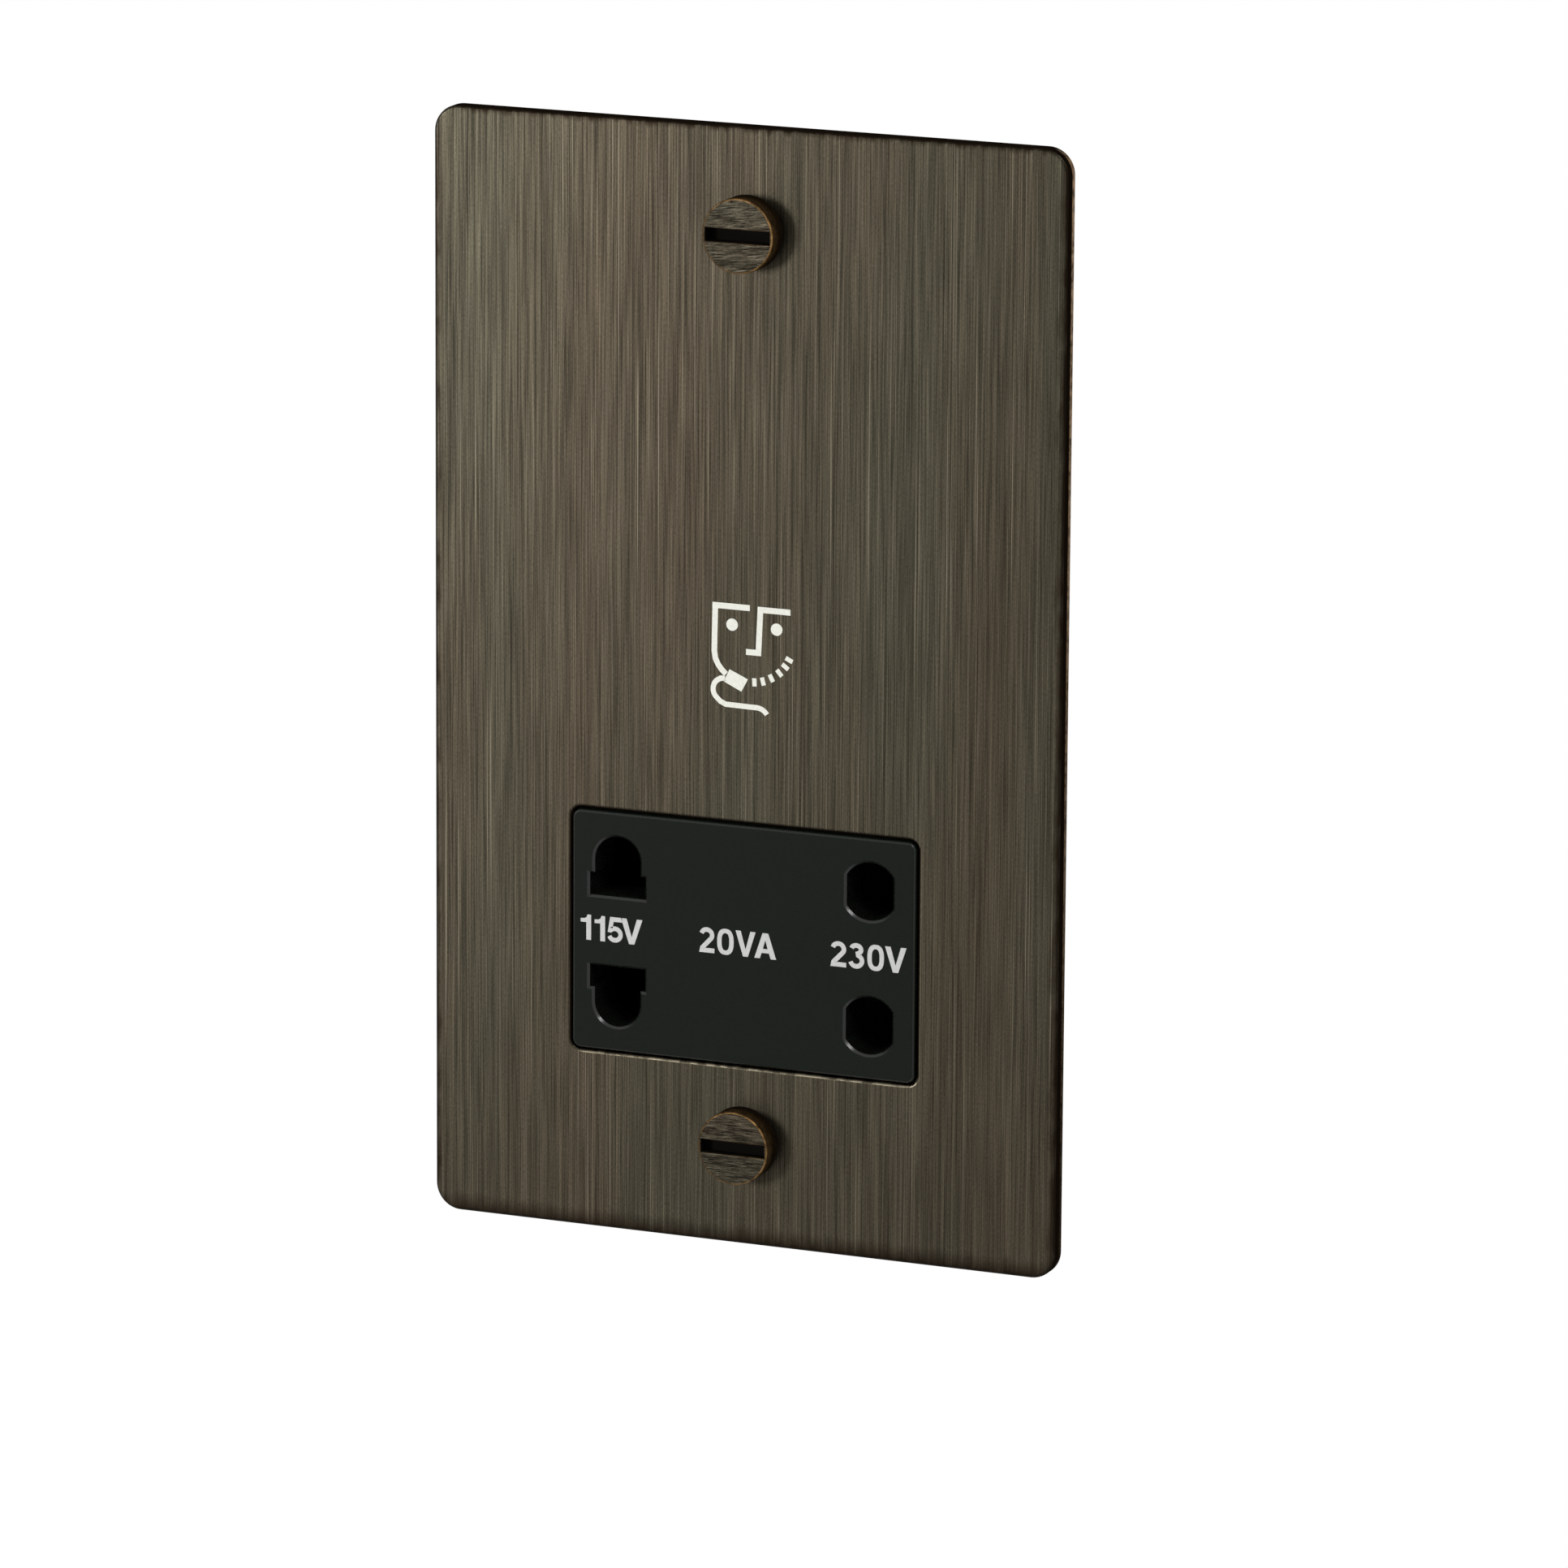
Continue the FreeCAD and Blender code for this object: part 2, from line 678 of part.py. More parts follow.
def socket_insert():
    """Black moulding that shows in the window, with a flange behind the plate and the four pin holes."""
    body = new_body("socket_insert")
    low, top = S.WindowZ - INSERT_TALL, S.WindowZ + INSERT_TALL
    sketch = new_sketch(body, at=INSERT_FRONT)
    add_rectangle(sketch, -INSERT_WIDE, INSERT_WIDE, low, top, S.WindowCorner - S.InsertGap)
    pad(body, sketch, S.InsertDepth - INSERT_FRONT, backwards=True)
    finish_edges(body, "Fillet", S.InsertEdge, lies_at("Y", INSERT_FRONT))
    sketch = new_sketch(body, at=SEAT)
    wide = S.WindowWidth / 2 + S.FlangeLap
    lap_low, lap_top = low - S.InsertGap - S.FlangeLap, top + S.InsertGap + S.FlangeLap
    add_rectangle(sketch, -wide, wide, lap_low, lap_top, S.WindowCorner + S.FlangeLap)
    pad(body, sketch, S.FlangeThick, backwards=True)
    for side in (-1, 1):
        sketch = new_sketch(body, at=INSERT_FRONT)
        round_hole(sketch, S.RoundHoleX, S.WindowZ + side * S.RoundHoleSpacing / 2)
        pocket(body, sketch)
        sketch = new_sketch(body, at=INSERT_FRONT)
        flat_hole(sketch, S.FlatHoleX, side)
        pocket(body, sketch)
    front = lies_at("Y", INSERT_FRONT)
    reach = (INSERT_WIDE - 1.5 * S.InsertEdge).number, (INSERT_TALL - 1.5 * S.InsertEdge).number
    finish_edges(
        body, "Chamfer", S.HoleChamfer,
        lambda edge: front(edge) and within(edge, 0, S.WindowZ.number, *reach),
    )
    return keep("socket_insert", body)


def shutter_slider():
    """Wedge-ended shutter. A plug on one side pushes it off its own holes and locks it over the others."""
    body = new_body("shutter_slider")
    sketch = new_sketch(body, "XY_Plane", S.WindowZ - S.ShutterHalfHeight)
    end, tip = S.ShutterHalf, S.ShutterHalf - S.ShutterTravel
    rear, land = SHUTTER_REAR, SHUTTER_REAR - S.ShutterLand
    add_loop(sketch, [
        (-tip, SHUTTER_FRONT), (tip, SHUTTER_FRONT), (end, land), (end, rear), (-end, rear), (-end, land),
    ])
    pad(body, sketch, 2 * S.ShutterHalfHeight)
    sketch = new_sketch(body, at=SHUTTER_FRONT)
    bay, bay_height = S.SpringBayHalf, S.SpringBayHalfHeight
    add_rectangle(sketch, -bay, bay, S.WindowZ - bay_height, S.WindowZ + bay_height)
    pocket(body, sketch)
    sketch = new_sketch(body, at=SHUTTER_FRONT)
    top = S.WindowZ + S.ShutterHalfHeight
    add_loop(sketch, [(0, top - S.NotchDepth), (S.NotchDepth, top), (-S.NotchDepth, top)])
    pocket(body, sketch)
    return keep("shutter_slider", body)


def swept(start, along, radius, sides, path, mitred=False):
    """A many-sided rod along a path. Its few faces stand for a round one."""
    across = along.cross(Vector(along.y, along.z, along.x))
    across.normalize()
    corners = []
    for side in range(sides + 1):
        turned = Rotation(along, 360 * side / sides).multVec(across)
        corners.append(start + turned * radius.number)
    profile = Part.makePolygon(corners)
    return path.makePipeShell([profile], True, False, RIGHT_CORNER if mitred else TRANSFORMED)


def shutter_spring(label, side):
    """Coil spring in short straight runs, between the carrier's post and one end of the shutter's bay."""
    length = (S.SpringBayHalf - S.PostHalf - 2 * S.SpringPlay - 2 * S.SpringWire).number
    radius, turns = S.SpringRadius.number, int(S.SpringTurns.number)
    start = (S.PostHalf + S.SpringPlay + S.SpringWire).number
    centre_y, centre_z = ((SHUTTER_FRONT + SHUTTER_REAR) / 2).number, S.WindowZ.number
    steps = turns * SPRING_RUNS
    points = [
        Vector(
            side * (start + length * step / steps),
            centre_y + radius * math.cos(CIRCLE * step / SPRING_RUNS),
            centre_z + radius * math.sin(CIRCLE * step / SPRING_RUNS),
        )
        for step in range(steps + 1)
    ]
    coil = doc.addObject("Part::Feature", label)
    path = Part.makePolygon(points)
    coil.Shape = swept(points[0], points[1] - points[0], S.SpringWire, WIRE_SIDES, path, mitred=True)
    return keep(label, coil)


def contact_carrier():
    """Moulded tray that guides the shutter, with a spring post, four contact pockets and switch blocks."""
    body = new_body("contact_carrier")
    outer, outer_height = S.TrayHalf + S.TrayWall, TRAY_HALF_HEIGHT + S.TrayWall
    z = S.WindowZ
    sketch = new_sketch(body, at=S.InsertDepth)
    add_rectangle(sketch, -outer, outer, z - outer_height, z + outer_height)
    pad(body, sketch, TRAY_REAR - S.InsertDepth, backwards=True)
    blocks = ((S.RoundHoleX, S.RoundHoleSpacing / 2), (S.FlatHoleX, S.FlatContactOffset))
    reach = S.PocketWidth / 2 + S.PocketWall
    for x, offset in blocks:
        sketch = new_sketch(body, at=TRAY_REAR)
        height = offset + S.PocketHeight / 2 + S.PocketWall
        add_rectangle(sketch, x - reach, x + reach, z - height, z + height)
        pad(body, sketch, S.PocketDepth, backwards=True)
    sketch = new_sketch(body, at=S.InsertDepth)
    add_rectangle(sketch, -S.TrayHalf, S.TrayHalf, z - TRAY_HALF_HEIGHT, z + TRAY_HALF_HEIGHT)
    pocket(body, sketch, TRAY_FLOOR - S.InsertDepth)
    sketch = new_sketch(body, at=TRAY_FLOOR)
    add_rectangle(sketch, -S.PostHalf, S.PostHalf, z - S.PostHalfHeight, z + S.PostHalfHeight)
    pad(body, sketch, S.ShutterThick)
    for x, offset in blocks:
        for side in (-1, 1):
            centre = z + side * offset
            sketch = new_sketch(body, at=TRAY_REAR)
            half, half_height = S.PocketWidth / 2, S.PocketHeight / 2
            add_rectangle(sketch, x - half, x + half, centre - half_height, centre + half_height)
            pocket(body, sketch)
            sketch = new_sketch(body, at=TRAY_FLOOR)
            half = S.FlatHoleWidth / 2 + S.FloorHoleClear
            half_height = S.RoundHoleRadius + S.FloorHoleClear
            add_rectangle(sketch, x - half, x + half, centre - half_height, centre + half_height)
            pocket(body, sketch, S.TrayFloor)
    sketch = new_sketch(body, "XY_Plane", TRAY_TOP)
    slot_front, slot_rear = LEAF_FRONT - S.LeafSlotClear, LEAF_FRONT + S.LeafWidth + S.LeafSlotClear
    reach = S.NotchDepth + S.LeafNoseClear
    add_rectangle(sketch, -reach, reach, slot_front, slot_rear)
    pocket(body, sketch, S.TrayWall)
    margin = S.SwitchBlockMargin
    for left, height in ((-S.LeafLeft, S.LeafSeat), (SWITCH_LEFT, SWITCH_Z - TRAY_TOP)):
        sketch = new_sketch(body, "XY_Plane", TRAY_TOP)
        front, rear = LEAF_FRONT - margin, LEAF_FRONT + S.LeafWidth + margin
        add_rectangle(sketch, left, left + S.SwitchBlock, front, rear)
        pad(body, sketch, height)
    return keep("contact_carrier", body)


def contact(label, x, z, flat, tail_shift):
    """Sprung clip of brass strip: two bowed leaves on a base that grips the pocket, and a solder tail.

    The leaves stand left and right of a round pin, or above and below a flat blade.
    """
    body = new_body(label)
    strip, belly = S.ContactStrip, S.ContactBelly
    throat = S.FlatThroat if flat else S.RoundThroat
    depths = (S.MouthDepth, S.ThroatDepth, S.BellyDepth)
    mouth_y, throat_y, belly_y = (TRAY_REAR + depth for depth in depths)
    grip = (S.PocketHeight if flat else S.PocketWidth) / 2 - S.ContactPlay
    inner = [(belly, CONTACT_BASE), (belly, belly_y), (throat, throat_y), (S.ContactMouth, mouth_y)]
    outer = [(u + strip, y) for u, y in reversed(inner)]
    right = inner + outer + [(grip, CONTACT_BASE), (grip, CONTACT_REAR)]
    profile = right + [(-u, y) for u, y in reversed(right)]
    if flat:
        sketch = new_sketch(body, "YZ_Plane", x - S.ContactWidth / 2)
        add_loop(sketch, [(y, z + u) for u, y in reversed(profile)])
    else:
        sketch = new_sketch(body, "XY_Plane", z - S.ContactWidth / 2)
        add_loop(sketch, [(x + u, y) for u, y in profile])
    pad(body, sketch, S.ContactWidth)
    sketch = new_sketch(body, at=CONTACT_REAR)
    centre, half = x + tail_shift, S.TailWidth / 2
    add_rectangle(sketch, centre - half, centre + half, z - strip / 2, z + strip / 2)
    pad(body, sketch, S.TailLength, backwards=True)
    return keep(label, body)


def switch_leaf():
    """Bronze leaf with a bent nose in the shutter's notch. It lifts when the shutter moves either way."""
    body = new_body("switch_leaf")
    sketch = new_sketch(body, at=LEAF_FRONT)
    nose = S.WindowZ + S.ShutterHalfHeight - S.NotchDepth + S.LeafNoseClear
    left, right, thick = -S.LeafLeft, S.LeafRight, S.LeafThick
    z = LEAF_Z
    add_loop(sketch, [
        (left, z), (-S.NotchDepth, z), (0, nose), (S.NotchDepth, z), (right, z), (right, z + thick),
        (S.NotchDepth - thick / 2, z + thick), (0, nose + 1.6 * thick), (thick / 2 - S.NotchDepth, z + thick),
        (left + thick, z + thick), (left + thick, z + S.SwitchTail), (left, z + S.SwitchTail),
    ])
    pad(body, sketch, S.LeafWidth, backwards=True)
    return keep("switch_leaf", body)


def switch_contact():
    """Fixed strip of the switch on its block, with a silver button above the leaf and a solder tail."""
    body = new_body("switch_contact")
    sketch = new_sketch(body, at=LEAF_FRONT)
    left, right = S.LeafRight - S.SwitchOverlap, SWITCH_LEFT + S.SwitchBlock
    z, thick = SWITCH_Z, S.SwitchStrip
    add_loop(sketch, [
        (left, z), (right, z), (right, z + S.SwitchTail), (right - thick, z + S.SwitchTail),
        (right - thick, z + thick), (left, z + thick),
    ])
    pad(body, sketch, S.LeafWidth, backwards=True)
    sketch = new_sketch(body, "XY_Plane", z)
    add_circle(sketch, S.LeafRight - S.ButtonInset, LEAF_FRONT + S.LeafWidth / 2, S.ButtonRadius)
    pad(body, sketch, S.SwitchGap / 2, backwards=True)
    return keep("switch_contact", body)


def transformer_core():
    """Stack of iron laminations: a rim and a middle leg round two windows, with four rivet holes."""
    half = S.CoreWidth / 2
    block = add_box("core_block", -half, half, CORE_FRONT, CORE_REAR, CORE_LOW, CORE_TOP)
    windows = []
    for side in (-1, 1):
        left = side * 1.5 * S.CoreLeg - S.CoreLeg / 2
        low, top = YOKE_TOP, CORE_TOP - S.CoreLeg
        windows.append(add_box("core_window", left, left + S.CoreLeg, CORE_FRONT, CORE_REAR, low, top))
        for z in (CORE_LOW + S.CoreLeg / 2, CORE_TOP - S.CoreLeg / 2):
            place = (side * (half - S.CoreLeg / 2), CORE_FRONT, z)
            windows.append(add_rod("core_rivet_hole", place, Vector(0, 1, 0), S.CoreBoltHole, S.CoreStack))
    return keep("transformer_core", cut("transformer_core", block, windows))


def core_clamp():
    """Folded steel band over the stack, with lips on its front and four screwed feet."""
    inner, outer = S.CoreWidth / 2, S.CoreWidth / 2 + S.ClampThick
    front = CORE_FRONT - S.ClampThick
    parts = [add_box("clamp_top", -outer, outer, front, CORE_REAR, CORE_TOP, CORE_TOP + S.ClampThick)]
    holes = []
    for side in (-1, 1):
        a, b = (inner, outer) if side > 0 else (-outer, -inner)
        parts.append(add_box("clamp_side", a, b, front, CORE_REAR, CORE_LOW, CORE_TOP))
        a, b = (inner - S.ClampLip, inner) if side > 0 else (-inner, S.ClampLip - inner)
        parts.append(add_box("clamp_lip", a, b, front, CORE_FRONT, CORE_LOW, CORE_TOP))
        for z in FEET:
            a, b = (inner, outer + S.ClampFoot) if side > 0 else (-outer - S.ClampFoot, -inner)
            low, top = z - S.ClampFootWidth / 2, z + S.ClampFootWidth / 2
            parts.append(add_box("clamp_foot", a, b, CORE_REAR, CORE_REAR + S.ClampThick, low, top))
            place = (side * FOOT_X, CORE_REAR, z)
            radius = S.ClampScrewRadius + S.StudClear
            holes.append(add_rod("clamp_hole", place, Vector(0, 1, 0), radius, S.ClampThick))
    return keep("core_clamp", cut("core_clamp", fuse("clamp_band", parts), holes))


def clamp_screws():
    """Four screws that hold the clamp's feet to the housing's bosses."""
    screws = []
    for number, (side, z) in enumerate([(side, z) for side in (-1, 1) for z in FEET]):
        screw = slotted_screw(
            f"clamp_screw_{number}",
            (S.ClampScrewHead, CORE_REAR - S.ClampScrewHeadHeight, CORE_REAR),
            (S.ClampScrewRadius + S.ClampScrewNeck, CORE_REAR + S.ClampThick),
            (S.ClampScrewRadius, CORE_REAR + S.ClampScrewLength),
            (1.6 * S.ClampScrewHead, S.SmallSlotWidth, S.SmallSlotDepth),
            S.ClampScrewRim,
        )
        bind(screw, "Placement.Base.x", side * FOOT_X)
        bind(screw, "Placement.Base.z", z)
        screws.append(screw)
    return keep("clamp_screws", group("clamp_screws", screws))


def ring_pad(body, low, height, hole, outside, corner=None):
    """A square ring round the core's middle leg. hole and outside are its half sizes along X and Y."""
    sketch = new_sketch(body, "XY_Plane", low)
    y = S.CoreY
    add_rectangle(sketch, -outside[0], outside[0], y - outside[1], y + outside[1], corner)
    add_rectangle(sketch, -hole[0], hole[0], y - hole[1], y + hole[1])
    pad(body, sketch, height)


def bobbin():
    """Two-chamber nylon spool that keeps the windings apart, on the core's middle leg."""
    body = new_body("bobbin")
    hole = (S.CoreLeg + S.BobbinPlay, S.CoreStack / 2 + S.BobbinPlay)
    ring_pad(body, SPOOL_LOW, SPOOL_TOP - SPOOL_LOW, hole, (SPOOL_HALF_X, SPOOL_HALF_Y))
    middle = (SPOOL_LOW + SPOOL_TOP - S.BobbinWall) / 2
    for low in (SPOOL_LOW, middle, SPOOL_TOP - S.BobbinWall):
        ring_pad(body, low, S.BobbinWall, hole, (CHEEK_HALF_X, CHEEK_HALF_Y), S.CheekCorner)
    return keep("bobbin", body)


def winding(label, upper, tape):
    """One chamber's turns of enamelled wire, or the tape round them."""
    middle = (SPOOL_LOW + SPOOL_TOP) / 2
    low = middle + S.BobbinWall / 2 if upper else SPOOL_LOW + S.BobbinWall
    high = SPOOL_TOP - S.BobbinWall if upper else middle - S.BobbinWall / 2
    play = S.WindingPlay
    turns = (CHEEK_HALF_X - S.WindingInset, CHEEK_HALF_Y - S.WindingInset)
    body = new_body(label)
    sketch = new_sketch(body, "XY_Plane", low + play)
    y, corner = S.CoreY, S.WindingCorner
    if tape:
        wide, deep = (half + S.TapeThick for half in turns)
        add_rectangle(sketch, -wide, wide, y - deep, y + deep, corner + S.TapeThick)
        wide, deep = turns
        add_rectangle(sketch, -wide, wide, y - deep, y + deep, corner)
    else:
        wide, deep = turns
        add_rectangle(sketch, -wide, wide, y - deep, y + deep, corner)
        wide, deep = SPOOL_HALF_X + play, SPOOL_HALF_Y + play
        add_rectangle(sketch, -wide, wide, y - deep, y + deep)
    pad(body, sketch, high - low - 2 * play)
    return keep(label, body)


def bobbin_tags():
    """Tinned tags under the spool's lower cheek, where the leads meet the windings."""
    tags = []
    for x in TAG_X.values():
        left, front = x - S.TagWidth / 2, S.TagY - S.TagThick / 2
        low = SPOOL_LOW - S.TagLength
        tags.append(add_box("tag", left, left + S.TagWidth, front, front + S.TagThick, low, SPOOL_LOW))
    return keep("bobbin_tags", group("bobbin_tags", tags))


def thermal_cutout():
    """Flat thermal fuse that lies against the primary winding's tape."""
    body = new_body("thermal_cutout")
    sketch = new_sketch(body, at=CUTOUT_FRONT)
    half = S.CutoutWidth / 2
    add_rectangle(sketch, -half, half, S.CutoutZ, S.CutoutZ + S.CutoutHeight, S.CutoutCorner)
    pad(body, sketch, S.CutoutThick, backwards=True)
    return keep("thermal_cutout", body)


def terminal_block():
    """Three-way moulding on the housing's step, with wire entries, screw holes and lead holes."""
    body = new_body("terminal_block")
    sketch = new_sketch(body, at=BLOCK_FRONT)
    half = S.BlockWidth / 2
    add_rectangle(sketch, -half, half, BLOCK_LOW, BLOCK_TOP, S.BlockCorner)
    pad(body, sketch, S.BlockDepth, backwards=True)
    for x in TERMINAL_X:
        play = S.TerminalPlay
        sketch = new_sketch(body, at=BLOCK_FRONT)
        reach = S.TerminalWidth / 2 + play
        add_rectangle(sketch, x - reach, x + reach, TERMINAL_LOW - play, TERMINAL_TOP + play)
        pocket(body, sketch, S.BlockDepth - S.BlockWall)
        sketch = new_sketch(body, at=BLOCK_REAR)
        add_circle(sketch, x, TERMINAL_Z, S.TerminalScrewRadius + S.ScrewHoleClear)
        pocket(body, sketch, S.BlockWall, backwards=True)
        sketch = new_sketch(body, "XY_Plane", BLOCK_LOW)
        reach = S.WireHoleRadius + S.WireEntryClear
        add_rectangle(sketch, x - reach, x + reach, BLOCK_FRONT, WIRE_Y + reach)
        pocket(body, sketch, TERMINAL_LOW - BLOCK_LOW, backwards=True)
        sketch = new_sketch(body, "XY_Plane", BLOCK_TOP)
        add_circle(sketch, x, LEAD_Y, S.LeadRadius + S.LeadClear)
        pocket(body, sketch, BLOCK_TOP - TERMINAL_TOP)
    sketch = new_sketch(body, "XY_Plane", BLOCK_LOW)
    add_circle(sketch, EARTH_X, EARTH_Y, S.LeadRadius + S.LeadClear)
    pocket(body, sketch, TERMINAL_LOW - BLOCK_LOW, backwards=True)
    return keep("terminal_block", body)


def terminal(label, x):
    """Brass cage with a wire hole up from below and a threaded hole in from behind."""
    body = new_body(label)
    sketch = new_sketch(body, at=TERMINAL_FRONT)
    half = S.TerminalWidth / 2
    add_rectangle(sketch, x - half, x + half, TERMINAL_LOW, TERMINAL_TOP)
    pad(body, sketch, TERMINAL_REAR - TERMINAL_FRONT, backwards=True)
    sketch = new_sketch(body, "XY_Plane", TERMINAL_LOW)
    add_circle(sketch, x, WIRE_Y, S.WireHoleRadius)
    pocket(body, sketch, TERMINAL_TOP - TERMINAL_LOW - S.TerminalRoof, backwards=True)
    sketch = new_sketch(body, at=TERMINAL_REAR)
    add_circle(sketch, x, TERMINAL_Z, S.TerminalScrewRadius + S.ThreadClear)
    pocket(body, sketch, TERMINAL_REAR - WIRE_Y, backwards=True)
    return keep(label, body)


def terminal_screws():
    """Three headless slotted screws that press the wires in their cages."""
    screws = []
    for number, x in enumerate(TERMINAL_X):
        body = new_body(f"terminal_screw_{number}")
        sketch = new_sketch(body, at=TERMINAL_REAR)
        add_circle(sketch, x, TERMINAL_Z, S.TerminalScrewRadius)
        pad(body, sketch, S.TerminalScrewLength)
        sketch = new_sketch(body, at=TERMINAL_REAR)
        reach, half = S.TerminalScrewRadius + S.TerminalPlay, S.SmallSlotWidth / 2
        add_rectangle(sketch, x - reach, x + reach, TERMINAL_Z - half, TERMINAL_Z + half)
        pocket(body, sketch, S.SmallSlotDepth, backwards=True)
        screws.append(body)
    return keep("terminal_screws", group("terminal_screws", screws))


def rear_housing():
    """Moulded tub round the socket and transformer, stepped for the terminals, with vents and ears."""
    body = new_body("rear_housing")
    wide, tall, wall = HOUSING_HALF, S.HousingHalfHeight, S.HousingWall
    corner = S.HousingCorner
    sketch = new_sketch(body, at=SEAT)
    add_rectangle(sketch, -wide, wide, -tall, tall, corner)
    pad(body, sketch, S.StepDepth - SEAT, backwards=True)
    sketch = new_sketch(body, at=S.StepDepth)
    add_rectangle(sketch, -wide, wide, S.StepZ, tall, corner)
    pad(body, sketch, S.HousingDepth - S.StepDepth, backwards=True)
    finish_edges(body, "Fillet", S.HousingEdge, lies_at("Y", S.HousingDepth))
    sketch = new_sketch(body, at=SEAT)
    for x in (-S.StudX, S.StudX):
        half, top = S.EarWidth / 2, S.StudZ + S.EarReach
        add_rectangle(sketch, x - half, x + half, -top, top, S.EarCorner)
    pad(body, sketch, S.EarThick, backwards=True)
    sketch = new_sketch(body, at=SEAT)
    add_rectangle(sketch, wall - wide, wide - wall, wall - tall, tall - wall, corner - wall)
    pocket(body, sketch, S.StepDepth - wall - SEAT)
    sketch = new_sketch(body, at=S.StepDepth - wall)
    add_rectangle(sketch, wall - wide, wide - wall, S.StepZ + wall, tall - wall, corner - wall)
    pocket(body, sketch, S.HousingDepth - S.StepDepth)
    for side in (-1, 1):
        for z in FEET:
            sketch = new_sketch(body, at=CORE_REAR + S.ClampThick)
            a, b = side * (wide - wall / 2), side * (FOOT_X - S.BossHalf)
            left, right = (b, a) if side > 0 else (a, b)
            add_rectangle(sketch, left, right, z - S.BossHalf, z + S.BossHalf)
            pad(body, sketch, S.HousingDepth - wall / 2 - CORE_REAR - S.ClampThick, backwards=True)
    sketch = new_sketch(body, at=CORE_REAR + S.ClampThick)
    for side in (-1, 1):
        for z in FEET:
            add_circle(sketch, side * FOOT_X, z, S.ClampScrewRadius + S.ThreadClear)
    pocket(body, sketch, S.ClampScrewLength)
    sketch = new_sketch(body, at=SEAT)
    for x, z in STUDS:
        add_circle(sketch, x, z, S.StudRadius + S.StudClear)
    pocket(body, sketch, S.EarThick)
    sketch = new_sketch(body, at=S.HousingDepth)
    for number in range(VENT_COUNT):
        x = (number - (VENT_COUNT - 1) / 2) * S.VentPitch
        left, low = x - S.VentWidth / 2, S.CoreZ - S.VentLength / 2
        add_rectangle(sketch, left, left + S.VentWidth, low, low + S.VentLength, S.VentCorner)
    pocket(body, sketch, wall, backwards=True)
    sketch = new_sketch(body, "XY_Plane", S.StepZ)
    for x in TERMINAL_X[:2]:
        add_circle(sketch, x, LEAD_Y, S.LeadRadius + S.LeadClear)
    pocket(body, sketch, wall, backwards=True)
    for side, floor in ((-1, S.StepDepth - wall), (1, S.HousingDepth - wall)):
        sketch = new_sketch(body, at=POCKET_REAR)
        for x, way in ((S.RoundHoleX, 1), (S.FlatHoleX, -1)):
            edge = x + way * (S.PocketWidth / 2 + S.PocketWall)
            left = edge - S.PocketWall if way > 0 else edge
            centre = S.WindowZ + side * S.FlatContactOffset
            add_rectangle(sketch, left, left + S.PocketWall, centre - S.RibHalf, centre + S.RibHalf)
        pad(body, sketch, floor - POCKET_REAR + S.HousingWall / 2, backwards=True)
    return keep("rear_housing", body)


def stud_fasteners():
    """A washer and a hexagon nut on each welded stud."""
    washers, nuts = [], []
    seat = SEAT + S.EarThick
    along = Vector(0, 1, 0)
    for x, z in STUDS:
        tag = x.number > 0 and z.number < 0
        front = seat + (S.EarthTagThick if tag else 0)
        disc = add_rod("washer_disc", (x, front, z), along, S.WasherRadius, S.WasherThick)
        hole = add_rod("washer_hole", (x, front, z), along, S.StudRadius + S.WasherClear, S.WasherThick)
        washers.append(cut("washer", disc, [hole]))
        face = front + S.WasherThick
        prism = doc.addObject("Part::Prism", "nut_prism")
        prism.Polygon = 6
        bind(prism, "Circumradius", S.NutFlats / math.sqrt(3))
        bind(prism, "Height", S.NutThick)
        prism.Placement = Placement(Vector(), Rotation(Vector(0, 0, 1), along))
        for name, place in zip("xyz", (x, face, z)):
            bind(prism, "Placement.Base." + name, place)
        bore = add_rod("nut_bore", (x, face, z), along, S.StudRadius + S.ThreadClear, S.NutThick)
        nuts.append(cut("nut", prism, [bore]))
    keep("stud_washers", group("stud_washers", washers))
    keep("stud_nuts", group("stud_nuts", nuts))


def earth_tag():
    """Ring tag on the lower right stud, with a barrel for the earth lead."""
    along = Vector(0, 1, 0)
    front = SEAT + S.EarThick
    x, z = S.StudX, -S.StudZ
    low, top, thick, round_y = z - S.TagNeckHalf, z + S.TagNeckHalf, S.EarthTagThick, front + S.BarrelRadius
    ring = add_rod("tag_ring", (x, front, z), along, S.WasherRadius, thick)
    neck = add_box("tag_neck", BARREL_X, x, front, front + thick, low, top)
    barrel = add_rod("tag_barrel", (BARREL_X, round_y, z), Vector(-1, 0, 0), S.BarrelRadius, S.BarrelLength)
    strap = add_box("tag_strap", BARREL_X - S.BarrelStrap, BARREL_X, front, round_y, low, top)
    hole = add_rod("tag_hole", (x, front, z), along, S.StudRadius + S.WasherClear, thick)
    return keep("earth_tag", cut("earth_tag", fuse("tag_body", [ring, neck, barrel, strap]), [hole]))


